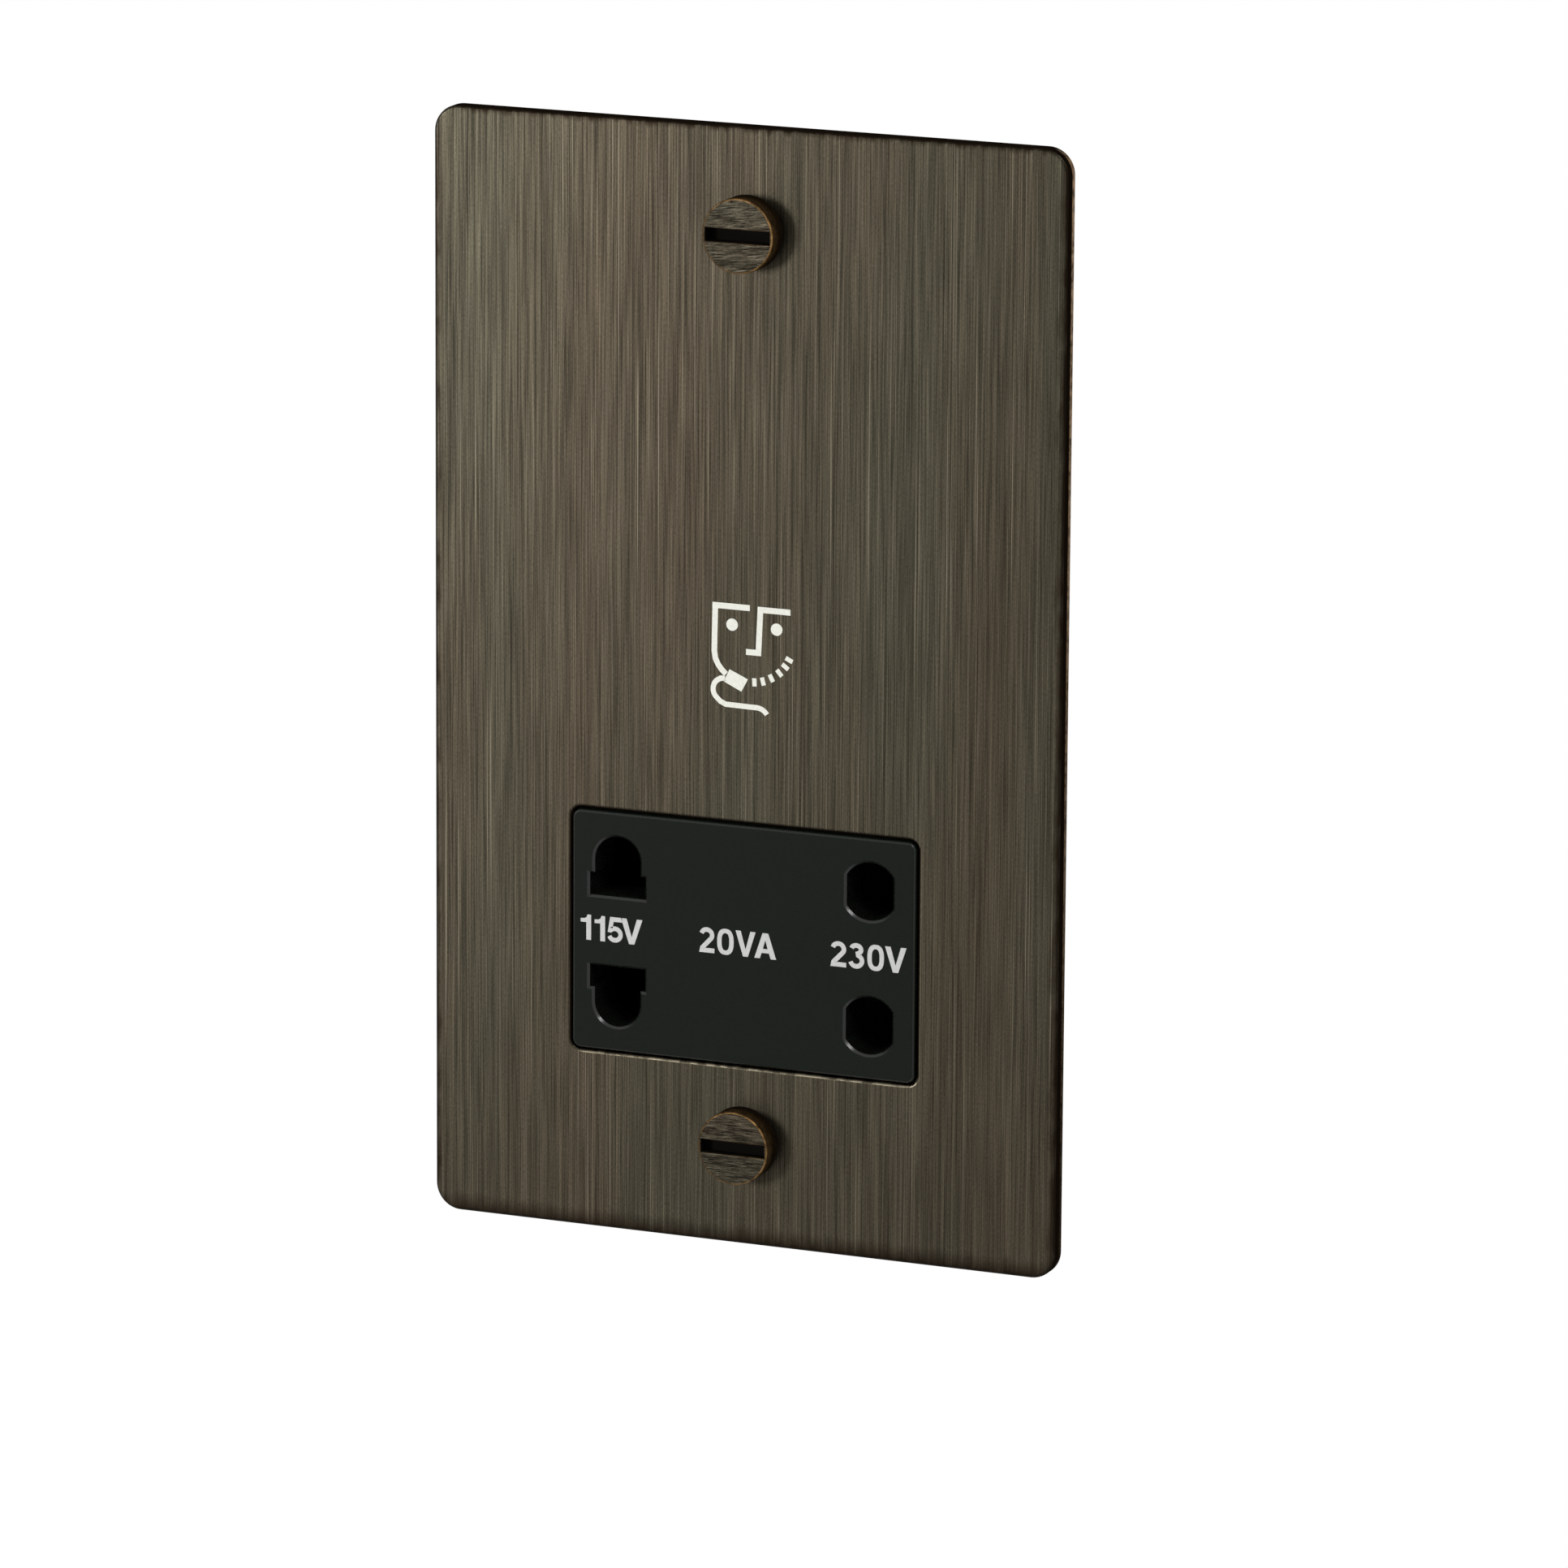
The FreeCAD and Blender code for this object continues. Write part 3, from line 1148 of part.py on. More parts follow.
def lead(label, points, radius):
    """An insulated lead: a tube along straight runs joined by tangent arcs as large as the runs allow."""
    points = [Vector(*(Dim.of(place).number for place in point)) for point in points]
    edges, start, radii = [], points[0], []
    for before, corner, after in zip(points, points[1:], points[2:]):
        come, go = (corner - before), (after - corner)
        turn = come.getAngle(go)
        if turn < LEAST_TURN:
            continue
        back = 0.45 * min(come.Length, go.Length)
        radii.append(back / math.tan(turn / 2))
        come.normalize()
        go.normalize()
        enter, leave = corner - come * back, corner + go * back
        inward = (go - come).normalize()
        sagitta = radii[-1] * (1 / math.cos(turn / 2) - 1)
        edges.append(Part.LineSegment(start, enter).toShape())
        edges.append(Part.Arc(enter, corner + inward * sagitta, leave).toShape())
        start = leave
    edges.append(Part.LineSegment(start, points[-1]).toShape())
    path = Part.Wire(edges)
    tube = swept(points[0], points[1] - points[0], radius, LEAD_SIDES, path)
    section = LEAD_SIDES / 2 * radius.number ** 2 * math.sin(CIRCLE / LEAD_SIDES)
    expected = section * path.Length
    if not tube.isValid() or abs(tube.Volume / expected - 1) > 0.02:
        raise ValueError(f"{label} does not sweep cleanly")
    feature = doc.addObject("Part::Feature", label)
    feature.Shape = tube
    smallest = min(radii, default=0)
    print(f"{label}: length {path.Length:.1f} mm, smallest radius {smallest:.1f} mm")
    return keep(label, feature)


def leads():
    """The insulated leads, from solder point to solder point."""
    radius, tag_low = S.LeadRadius, SPOOL_LOW - S.TagLength
    strip = S.ContactStrip / 2
    pitch = S.RoundHoleSpacing / 2
    top, low = S.WindowZ + S.FlatContactOffset, S.WindowZ - S.FlatContactOffset
    rear = TAIL_LEAD_Y
    leaf_x = S.LeafThick / 2 - S.LeafLeft
    leaf_y, leaf_z = LEAF_FRONT + S.LeafWidth / 2, LEAF_Z + S.SwitchTail
    lead("live_lead", [
        (TERMINAL_X[0], LEAD_Y, TERMINAL_TOP), (TERMINAL_X[0], LEAD_Y, -27.0), (-14.5, 33.5, -11.5),
        (-22.5, 22.0, -6.5), (leaf_x, leaf_y, -6.0), (leaf_x, leaf_y, leaf_z),
    ], radius)
    switch_x = SWITCH_LEFT + S.SwitchBlock - S.SwitchStrip / 2
    cutout_x, cutout_y = S.CutoutWidth / 2, CUTOUT_FRONT + S.CutoutThick / 2
    cutout_z = S.CutoutZ + S.CutoutHeight / 2
    lead("switched_lead", [
        (switch_x, leaf_y, SWITCH_Z + S.SwitchTail), (switch_x, leaf_y, -5.0),
        (switch_x - 0.6, cutout_y + 1.2, 7.0), (14.0, cutout_y, cutout_z), (cutout_x, cutout_y, cutout_z),
    ], radius)
    lead("neutral_lead", [
        (TERMINAL_X[1], LEAD_Y, TERMINAL_TOP), (TERMINAL_X[1], LEAD_Y, -25.0), (1.5, 31.5, -8.0),
        (4.5, 19.0, -4.6), (TAG_X["primary_neutral"], S.TagY, -5.2),
        (TAG_X["primary_neutral"], S.TagY, tag_low),
    ], radius)
    lead("thermal_lead", [
        (0, cutout_y, S.CutoutZ), (0, cutout_y, S.CutoutZ - 5.0),
        (0, S.TagY - S.TagThick / 2, S.CutoutZ - 5.0),
    ], S.ThermalLeadRadius)
    tail = S.FlatHoleX
    lead("lead_115", [
        (TAG_X["secondary_115"], S.TagY, tag_low), (TAG_X["secondary_115"], S.TagY, -6.0),
        (tail + 1.5, 17.0, -11.2), (tail, rear, -14.5), (tail, rear, top + strip),
    ], radius)
    tail = S.FlatHoleX + S.TailShift
    lead("common_lead", [
        (TAG_X["secondary_common"], S.TagY, tag_low), (TAG_X["secondary_common"], S.TagY, -7.0),
        (-10.5, 17.0, -11.6), (tail, rear, -17.0), (tail, rear, -29.0), (tail, rear, low + strip),
    ], radius)
    tail = S.RoundHoleX
    lead("lead_230", [
        (TAG_X["secondary_230"], S.TagY, tag_low), (TAG_X["secondary_230"], S.TagY, -6.0),
        (tail - 1.5, 17.0, -11.0), (tail, rear, -14.0), (tail, rear, S.WindowZ + pitch + strip),
    ], radius)
    half = S.TailWidth / 2
    left, right = S.FlatHoleX + S.TailShift + half, S.RoundHoleX - S.TailShift - half
    lead("bridge_lead", [
        (left, rear, low), (left + 8.0, rear, low), (right - 8.0, rear, S.WindowZ - pitch),
        (right, rear, S.WindowZ - pitch),
    ], radius)
    barrel = BARREL_X - S.BarrelLength
    barrel_y, barrel_z = SEAT + S.EarThick + S.BarrelRadius, -S.StudZ
    lead("earth_lead", [
        (barrel, barrel_y, barrel_z), (barrel - 4.5, barrel_y, barrel_z),
        (barrel - 5.5, 11.5, barrel_z - 0.2), (barrel - 1.5, 20.5, barrel_z - 0.8),
        (barrel + 0.8, 29.5, barrel_z - 1.0), (EARTH_X, EARTH_Y, barrel_z - 0.4),
        (EARTH_X, EARTH_Y, TERMINAL_LOW),
    ], radius)


def build():
    face_plate()
    fixing_screws()
    socket_insert()
    shutter_slider()
    shutter_spring("shutter_spring_left", -1)
    shutter_spring("shutter_spring_right", 1)
    contact_carrier()
    for name, side in (("upper", 1), ("lower", -1)):
        shift = S.TailShift if side < 0 else Dim.of(0)
        flat_z = S.WindowZ + side * S.FlatContactOffset
        round_z = S.WindowZ + side * S.RoundHoleSpacing / 2
        contact("contact_115_" + name, S.FlatHoleX, flat_z, True, shift)
        contact("contact_230_" + name, S.RoundHoleX, round_z, False, -shift)
    switch_leaf()
    switch_contact()
    transformer_core()
    core_clamp()
    clamp_screws()
    bobbin()
    winding("primary_winding", upper=False, tape=False)
    winding("primary_tape", upper=False, tape=True)
    winding("secondary_winding", upper=True, tape=False)
    winding("secondary_tape", upper=True, tape=True)
    bobbin_tags()
    thermal_cutout()
    terminal_block()
    for name, x in zip(("live_terminal", "neutral_terminal", "earth_terminal"), TERMINAL_X):
        terminal(name, x)
    terminal_screws()
    rear_housing()
    stud_fasteners()
    earth_tag()
    leads()
    doc.recompute()


def check_and_export():
    """Stop on any object that failed, then write each sub-part to its own file."""
    for item in doc.Objects:
        if "Invalid" in item.State or "Error" in item.State:
            raise ValueError(f"{item.Name} did not build")
    for label, item in PIECES.items():
        if item.Shape.isNull() or not item.Shape.isValid() or not item.Shape.Solids:
            raise ValueError(f"{label} has no valid solid")
    os.makedirs("parts", exist_ok=True)
    for label, item in PIECES.items():
        item.Shape.exportStep(f"parts/{label}.step")
        print(f"{label}: {len(item.Shape.Solids)} solid, {item.Shape.Volume / 1000:.2f} cm3")


build()
check_and_export()
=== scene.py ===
"""Dual-voltage shaver socket on a brushed bronze plate: its looks, its camera and its studio."""

import json
import math

import bmesh
import bpy
from mathutils import Matrix, Vector


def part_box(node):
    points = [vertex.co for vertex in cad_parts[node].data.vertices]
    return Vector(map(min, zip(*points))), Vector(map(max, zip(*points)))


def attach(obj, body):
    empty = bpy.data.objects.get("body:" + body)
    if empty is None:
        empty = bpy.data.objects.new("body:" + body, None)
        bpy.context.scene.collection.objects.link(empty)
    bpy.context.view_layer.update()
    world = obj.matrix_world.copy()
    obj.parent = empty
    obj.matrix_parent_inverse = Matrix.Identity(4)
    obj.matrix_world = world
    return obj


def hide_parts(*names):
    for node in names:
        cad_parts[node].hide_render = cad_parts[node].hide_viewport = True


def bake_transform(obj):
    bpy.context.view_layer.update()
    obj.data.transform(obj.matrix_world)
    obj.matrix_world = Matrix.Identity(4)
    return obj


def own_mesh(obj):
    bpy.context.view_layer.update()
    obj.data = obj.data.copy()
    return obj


bl_info = {
    "name": "Shaver Socket",
    "version": (1, 0, 0),
    "blender": (4, 5, 0),
    "location": "3D View > Sidebar > Shaver Socket",
    "description": "Builds the plate, screws, mouldings and wiring of a shaver socket",
    "category": "Object",
}

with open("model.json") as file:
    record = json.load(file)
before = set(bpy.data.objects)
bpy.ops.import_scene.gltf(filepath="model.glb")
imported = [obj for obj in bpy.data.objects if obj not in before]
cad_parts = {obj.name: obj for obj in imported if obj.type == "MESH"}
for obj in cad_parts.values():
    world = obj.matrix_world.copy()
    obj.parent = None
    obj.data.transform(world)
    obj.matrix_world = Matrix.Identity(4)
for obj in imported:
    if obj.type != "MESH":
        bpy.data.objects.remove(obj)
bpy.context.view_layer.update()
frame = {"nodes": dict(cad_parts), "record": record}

MM = 0.001
NEAR = 2e-5  # metres: how close counts as being in a plane
DOUBLES = 1e-7  # metres: verts this close are one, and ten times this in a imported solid
QUARTER = math.pi / 2
TURN = 2 * math.pi
SQUARE = 0.97  # a face whose normal's Y is beyond this counts as square to the room or to the wall
UV_SCALE = 10  # the plate's map is 0.1 m wide

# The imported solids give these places, in metres.
PLATE_LOW, PLATE_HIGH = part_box("face_plate")
INSERT_LOW, INSERT_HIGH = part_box("socket_insert")
PLATE_FRONT = PLATE_LOW.y
HALF_WIDE = PLATE_HIGH.x / MM
INSERT_FRONT = INSERT_LOW.y


def linear(code):
    """A hex colour such as #5E5446 as linear red, green and blue."""
    channels = [int(code[at:at + 2], 16) / 255 for at in (1, 3, 5)]
    return tuple(
        value / 12.92 if value <= 0.04045 else ((value + 0.055) / 1.055) ** 2.4 for value in channels
    )


def length(name, description, millimetres):
    return bpy.props.FloatProperty(
        name=name, description=description, default=millimetres * MM, unit="LENGTH", precision=5
    )


def colour(name, description, code):
    return bpy.props.FloatVectorProperty(
        name=name, description=description, default=linear(code), subtype="COLOR", min=0, max=1
    )


def wattage(name, description, watts):
    return bpy.props.FloatProperty(name=name, description=description, default=watts, min=0, unit="POWER")


def position(name, description, place):
    return bpy.props.FloatVectorProperty(
        name=name, description=description, default=place, subtype="TRANSLATION"
    )


def turning(name, description, degrees):
    return bpy.props.FloatProperty(
        name=name, description=description, default=math.radians(degrees), subtype="ANGLE"
    )


def sizes_of(name, description, kind):
    return bpy.props.PointerProperty(name=name, description=description, type=kind)


class PlateSizes(bpy.types.PropertyGroup):
    corner: length("Corner radius", "Radius of the plate's four corners", 3.5)
    edge: length("Front edge", "Rounding of the front edge", 0.45)
    rim: length("Rear rim", "Width of the rim that lies on the wall", 3.0)
    relief: length("Rear relief", "Depth of the hollow inside the rear rim", 0.3)
    window_width: length("Window width", "Width of the window for the moulding", 48.8)
    window_height: length("Window height", "Height of the window for the moulding", 32.6)
    window_corner: length("Window corner", "Radius of the window's corners", 1.4)
    window_edge: length("Window edge", "Rounding of the window's front edge", 0.5)
    window_z: length("Window place", "Height of the window's middle above the plate's middle", -33.7)
    screw_hole: length("Screw hole", "Radius of the clearance holes for the fixing screws", 2.1)
    screw_z: length("Screw place", "Distance of each fixing screw from the plate's middle", 60.3)


class ScrewSizes(bpy.types.PropertyGroup):
    head: length("Head radius", "Radius of the turned head", 4.9)
    height: length("Head height", "How far the head stands off the plate", 3.3)
    rim: length("Rim", "Rounding of the head's front rim", 0.2)
    slot_length: length("Slot length", "Length of the blind slot", 9.0)
    slot_width: length("Slot width", "Width of the slot", 1.75)
    slot_depth: length("Slot depth", "Depth of the slot", 1.5)
    slot_edge: length("Slot edge", "Worn rounding of the slot's edge", 0.07)
    neck: length("Neck radius", "Radius of the plain neck under the head", 1.4)
    crest: length("Thread radius", "Outside radius of the thread", 1.75)
    pitch: length("Thread pitch", "Distance between two turns of the thread", 0.6)
    start: length("Thread start", "Depth behind the wall face where the thread starts", 0.5)
    end: length("Thread end", "Depth behind the wall face where the thread ends", 32.0)


class InsertSizes(bpy.types.PropertyGroup):
    gap: length("Gap", "Gap all round between the moulding and the window", 0.25)
    edge: length("Front edge", "Rounding of the front edge", 0.4)
    flange_front: length("Flange front", "Where the flange starts, behind the plate", -0.3)
    flange_rear: length("Flange rear", "Where the flange ends", 2.2)
    flange_lap: length("Flange lap", "How far the flange reaches past the window", 2.0)
    chamfer: length("Hole chamfer", "Chamfer round each pin hole", 0.3)
    round_x: length("Round hole place", "Distance of the 230 V holes from the middle", 17.75)
    round_z: length("Round hole spacing", "Distance of each 230 V hole above or below the middle", 8.95)
    round_radius: length("Round hole radius", "Radius of the 230 V holes", 3.85)
    round_half: length("Round hole flat", "Distance of the upright flats from the hole's middle", 3.275)
    flat_x: length("Flat hole place", "Distance of the 115 V holes from the middle", -17.8)
    flat_inner: length("Flat hole inner edge", "Where the blade's end of the hole starts", 4.7)
    flat_shoulder: length("Flat hole shoulder", "Where the blade's end of the hole ends", 7.7)
    flat_end: length("Flat hole outer end", "Top of the dome over the blade's end", 12.8)
    flat_dome: length("Flat hole dome", "Radius of the dome", 3.25)
    flat_half: length("Flat hole half width", "Half the width of the blade's end", 3.95)


class PrintSizes(bpy.types.PropertyGroup):
    stroke: length("Number stroke", "Stroke width of the numbers", 0.62)
    baseline: length("Number baseline", "Height of the numbers' foot above the plate's middle", -35.1)
    sign_stroke: length("Sign stroke", "Stroke width of the shaver sign", 0.78)
    proud: length("Print thickness", "How far the print stands off its surface", 0.03)


class FastenerSizes(bpy.types.PropertyGroup):
    stud_x: length("Stud place X", "Distance of each stud from the upright centre line", 24.0)
    stud_z: length("Stud place Z", "Distance of each stud from the level centre line", 57.8)
    stud_radius: length("Stud radius", "Outside radius of the welded M3 studs", 1.5)
    stud_pitch: length("Stud pitch", "Pitch of the M3 thread", 0.5)
    ear_rear: length("Ear rear", "Rear face of the housing's ears", 2.2)
    tag: length("Tag thickness", "Thickness of the earth tag under one washer", 0.6)
    washer_radius: length("Washer radius", "Radius of the washers", 3.2)
    washer: length("Washer thickness", "Thickness of the washers", 0.5)
    flats: length("Nut size", "Size of the nuts across their flats", 5.5)
    nut: length("Nut thickness", "Thickness of the nuts", 2.4)
    clamp_radius: length("Terminal screw radius", "Radius of the headless terminal screws", 1.45)
    clamp_front: length("Terminal screw front", "Inner end of the terminal screws", 35.85)
    clamp_rear: length("Terminal screw rear", "Slotted end of the terminal screws", 38.85)
    clamp_z: length("Terminal screw place", "Height of the terminal screws", -45.8)
    clamp_pitch: length("Terminal pitch", "Distance between two terminals", 11.0)


class Colours(bpy.types.PropertyGroup):
    bronze: colour("Warm bronze", "Warm brown of the brushed plate", "#373128")
    olive: colour("Olive bronze", "Greenish grey that the brushed plate wanders to", "#353229")
    scratch: colour("Scratch", "Bare metal in the lightest brush lines", "#7E7666")
    patina: colour("Patina", "Dark brown left on edges and sides", "#17110B")
    # Also the colour of the painted highlights on the screws' rims and sides and on the plate's right side.
    copper: colour("Worn rim", "Bare golden brown on worn rims", "#85663F")
    black: colour("Front moulding", "Black of the front moulding", "#10140F")
    # Painted shade: made near black, for the shade behind the pin holes.
    shutter: colour("Shutter", "Black of the shutter and its carrier behind the holes", "#030303")
    housing: colour("Rear housing", "Black of the rear housing", "#1D1E20")
    grey: colour("Grey moulding", "Grey of the terminal block", "#9A9A96")
    ink: colour("Sign ink", "Off-white ink of the shaver sign", "#E3E3D9")
    number_ink: colour("Number ink", "Off-white ink of the numbers", "#C2C2C0")


class Studio(bpy.types.PropertyGroup):
    ambient: bpy.props.FloatProperty(
        name="Ambient", description="Strength of the grey surroundings", default=0.3, min=0
    )
    front_power: wattage("Front box", "Power of the soft box left of the camera", 4.9)
    front_place: position("Front box place", "Centre of the box left of the camera", (-0.486, -0.694, 0.074))
    top_power: wattage("Top box", "Power of the soft box overhead", 2.0)
    top_place: position("Top box place", "Centre of the soft box overhead", (0.47, -0.35, 0.6))
    rear_power: wattage("Rear box", "Power of the soft box behind the wall", 5.0)
    rear_place: position("Rear box place", "Centre of the soft box behind the wall", (-0.3, 0.8, 0.45))
    box_width: length("Soft box width", "Width of each square soft box", 200)
    lens: bpy.props.FloatProperty(
        name="Lens", description="Focal length of the camera", default=226.64, unit="CAMERA"
    )
    yaw: turning("Yaw", "Turn of the camera to the left", 22.47)
    pitch: turning("Pitch", "Tilt of the camera downwards", 13.14)
    roll: turning("Roll", "Roll of the camera", 0.37)
    place: position("Camera place", "Where the camera stands", (0.4809, -1.1512, 0.2787))


class SocketSettings(bpy.types.PropertyGroup):
    plate: sizes_of("Plate", "Sizes of the plate", PlateSizes)
    screw: sizes_of("Screws", "Sizes of the screws", ScrewSizes)
    insert: sizes_of("Moulding", "Sizes of the moulding", InsertSizes)
    print: sizes_of("Print", "Sizes of the print", PrintSizes)
    fastener: sizes_of("Fasteners", "Sizes behind", FastenerSizes)
    colours: sizes_of("Colours", "Colours of the finishes", Colours)
    studio: sizes_of("Studio", "Camera and light", Studio)


def settings():
    return bpy.context.scene.shaver_socket


# Modelling steps

def lone(obj=None):
    """Object mode, with only this piece selected and active."""
    if bpy.context.object and bpy.context.object.mode != "OBJECT":
        bpy.ops.object.mode_set(mode="OBJECT")
    bpy.ops.object.select_all(action="DESELECT")
    if obj:
        bpy.context.view_layer.objects.active = obj
        obj.select_set(True)
    return obj


def placed(name, data):
    """A new object in the scene, with its data."""
    obj = bpy.data.objects.new(name, data)
    bpy.context.scene.collection.objects.link(obj)
    return obj


def settled(obj):
    """Puts a piece's place, turn and scale into its mesh."""
    lone(obj)
    bpy.ops.object.transform_apply(location=True, rotation=True, scale=True)
    return obj


def added(name, operator, **values):
    """A new primitive by its operator, named, with its place put into its mesh."""
    lone()
    operator(**values)
    obj = bpy.context.object
    obj.name = obj.data.name = name
    return settled(obj)


def block(name, half_x, half_z, front, rear, x=0.0, z=0.0):
    """A block between two depths, by its middle and half of its width and height."""
    low, high = Vector((x - half_x, front, z - half_z)), Vector((x + half_x, rear, z + half_z))
    return added(
        name, bpy.ops.mesh.primitive_cube_add, size=1, location=(low + high) / 2, scale=high - low
    )


def rod(name, radius, front, rear, x=0.0, z=0.0, sides=64, turn=0.0):
    """A rod along Y between two depths."""
    return added(
        name, bpy.ops.mesh.primitive_cylinder_add, vertices=sides, radius=radius, depth=rear - front,
        location=(x, (front + rear) / 2, z), rotation=(QUARTER, turn, 0),
    )


def choose(obj, kind, test):
    """Edit mode on one piece, with only the verts, edges or faces that pass the test selected."""
    lone(obj)
    bpy.ops.object.mode_set(mode="EDIT")
    bpy.ops.mesh.select_mode(type=kind)
    bpy.ops.mesh.select_all(action="DESELECT")
    mesh = bmesh.from_edit_mesh(obj.data)
    items = {"VERT": mesh.verts, "EDGE": mesh.edges, "FACE": mesh.faces}[kind]
    found = [item for item in items if test(item)]
    for item in found:
        item.select_set(True)
    bmesh.update_edit_mesh(obj.data)
    if not found:
        raise RuntimeError(f"{obj.name} has no {kind.lower()} where one is shaped")


def shape(obj, kind, test, operator, **values):
    """Runs one edit mode operator on the chosen part of a piece."""
    choose(obj, kind, test)
    operator(**values)
    bpy.ops.object.mode_set(mode="OBJECT")
    return obj


def bevel(obj, test, size, segments=3):
    return shape(
        obj, "EDGE", test, bpy.ops.mesh.bevel, offset=size, segments=segments, affect="EDGES",
        offset_type="OFFSET", clamp_overlap=False,
    )


def modify(obj, kind, **values):
    """Adds a modifier, sets it and applies it."""
    lone(obj)
    modifier = obj.modifiers.new(kind.title(), kind)
    for name, value in values.items():
        setattr(modifier, name, value)
    bpy.ops.object.modifier_apply(modifier=modifier.name)
    return obj


def carve(obj, tool, operation="DIFFERENCE"):
    """Cuts one piece with another, adds it or keeps what they share, and removes the tool."""
    modify(obj, "BOOLEAN", object=tool, operation=operation, solver="EXACT")
    mesh = tool.data
    bpy.data.objects.remove(tool)
    bpy.data.meshes.remove(mesh)
    return obj


def sharp_at(depth):
    """Test for edges at one depth, between a face that lies there and a face that stands on it."""
    def test(edge):
        across = [abs(face.normal.y) for face in edge.link_faces]
        there = all(abs(vert.co.y - depth) < NEAR for vert in edge.verts)
        return there and len(across) == 2 and min(across) < 0.5 < max(across)

    return test


def facing(low=-2.0, high=2.0):
    """Test for faces by their normal's Y, which is -1 towards the room and 1 towards the wall."""
    return lambda face: low < face.normal.y < high


def every(*tests):
    """Test for what passes all of several tests."""
    return lambda item: all(test(item) for test in tests)


def upright_corner(edge):
    """Test for edges that run along Y."""
    run = (edge.verts[1].co - edge.verts[0].co).normalized()
    return abs(run.y) > 0.999


def within(half_x, half_z, centre_z):
    """Test for edges and faces whose middle is inside a rectangle."""
    def test(item):
        middle = sum((vert.co for vert in item.verts), Vector()) / len(item.verts)
        return abs(middle.x) < half_x and abs(middle.z - centre_z) < half_z

    return test


def rounded_block(name, corner, segments, *sizes):
    """A block with its four edges along Y rounded."""
    return bevel(block(name, *sizes), upright_corner, corner, segments)


def thread(name, crest, pitch, front, rear):
    """A metric thread along Y: a wound ridge joined to its core.

    The ridge is 0.54 of the pitch deep and 0.88 of it wide, and its root lies inside the core.
    """
    steps = 24
    depth = 0.54 * pitch
    root, root_half = crest - 1.2 * depth, 0.44 * pitch
    ridge = added(
        name + "_ridge", bpy.ops.mesh.primitive_circle_add, vertices=3, radius=depth,
        rotation=(QUARTER, 0, -QUARTER),
    )
    for vert in ridge.data.vertices:
        outer = vert.co.z > 0.5 * depth
        vert.co = (crest, 0, 0) if outer else (root, 0, math.copysign(root_half, vert.co.y))
    turns = int((rear - front) / pitch) - 1
    modify(
        ridge, "SCREW", axis="Z", angle=TURN, screw_offset=pitch, iterations=turns, steps=steps,
        render_steps=steps, use_merge_vertices=True, merge_threshold=DOUBLES,
    )
    shape(ridge, "EDGE", lambda edge: edge.is_boundary, bpy.ops.mesh.edge_face_add)
    tidy(ridge)
    core = added(
        name, bpy.ops.mesh.primitive_cylinder_add, vertices=steps, radius=crest - depth, depth=rear - front,
        location=(0, 0, (rear - front) / 2),
    )
    ridge.location = (0, 0, (rear - front - turns * pitch) / 2)
    carve(core, ridge, "UNION")
    core.rotation_euler = (-QUARTER, 0, 0)
    core.location = (0, front, 0)
    return settled(core)


def tidy(obj):
    """Merges doubles and turns every face outwards."""
    choose(obj, "VERT", lambda vert: True)
    bpy.ops.mesh.remove_doubles(threshold=DOUBLES)
    bpy.ops.mesh.normals_make_consistent(inside=False)
    bpy.ops.object.mode_set(mode="OBJECT")
    return obj


def copied(obj, name, offset):
    """A copy with its own mesh, moved by an offset."""
    lone(obj)
    bpy.ops.object.duplicate(linked=False)
    copy = bpy.context.object
    copy.name = copy.data.name = name
    copy.location = offset
    return settled(copy)


def joined(pieces, name):
    """Several pieces as one."""
    lone(pieces[0])
    for piece in pieces:
        piece.select_set(True)
    bpy.ops.object.join()
    obj = bpy.context.object
    obj.name = obj.data.name = name
    return obj


def coat(obj, name, test):
    """Gives the faces that pass the test a finish of their own."""
    finish = FINISHES[name]
    if finish.name not in obj.data.materials:
        obj.data.materials.append(finish)
    choose(obj, "FACE", test)
    obj.active_material_index = obj.data.materials.find(finish.name)
    bpy.ops.object.material_slot_assign()
    bpy.ops.object.mode_set(mode="OBJECT")
    return obj


def dress(obj, slot, stands_for=(), body="case", finish=None, degrees=35):
    """Smooths a finished piece, gives it its finish and joins it to its body, if it has just one."""
    tidy(obj)
    obj.data.materials.clear()
    obj.data.materials.append(FINISHES[finish or slot])
    lone(obj)
    bpy.ops.object.shade_smooth_by_angle(angle=math.radians(degrees))
    modify(obj, "WEIGHTED_NORMAL", keep_sharp=True, weight=100)
    if body:
        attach(obj, body)
    if stands_for:
        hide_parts(*stands_for)
    return obj


def cleaned(node, name):
    """A copy of a solid's mesh without its doubles and needless edges."""
    obj = placed(name, frame["nodes"][node].data.copy())
    obj.data.materials.clear()
    choose(obj, "VERT", lambda vert: True)
    bpy.ops.mesh.remove_doubles(threshold=10 * DOUBLES)
    bpy.ops.mesh.dissolve_limited(angle_limit=math.radians(0.5))
    bpy.ops.mesh.normals_make_consistent(inside=False)
    bpy.ops.object.mode_set(mode="OBJECT")
    return obj


def refined(node, slot, edge, body="case"):
    """A cleaned copy of a solid with its sharp edges slightly rounded."""
    obj = cleaned(node, node + "_fine")
    if edge:
        modify(
            obj, "BEVEL", width=edge, segments=2, limit_method="ANGLE", angle_limit=math.radians(50),
            use_clamp_overlap=True,
        )
    return dress(obj, slot, (node,), body, degrees=30)


# Finishes

FINISHES = {}


def add_node(tree, kind, inputs=None, **values):
    """Adds a shader node with its settings, its values and its links."""
    node = tree.nodes.new("ShaderNode" + kind)
    for name, value in values.items():
        setattr(node, name, value)
    for name, value in (inputs or {}).items():
        if isinstance(value, bpy.types.NodeSocket):
            tree.links.new(value, node.inputs[name])
        else:
            node.inputs[name].default_value = value
    return node


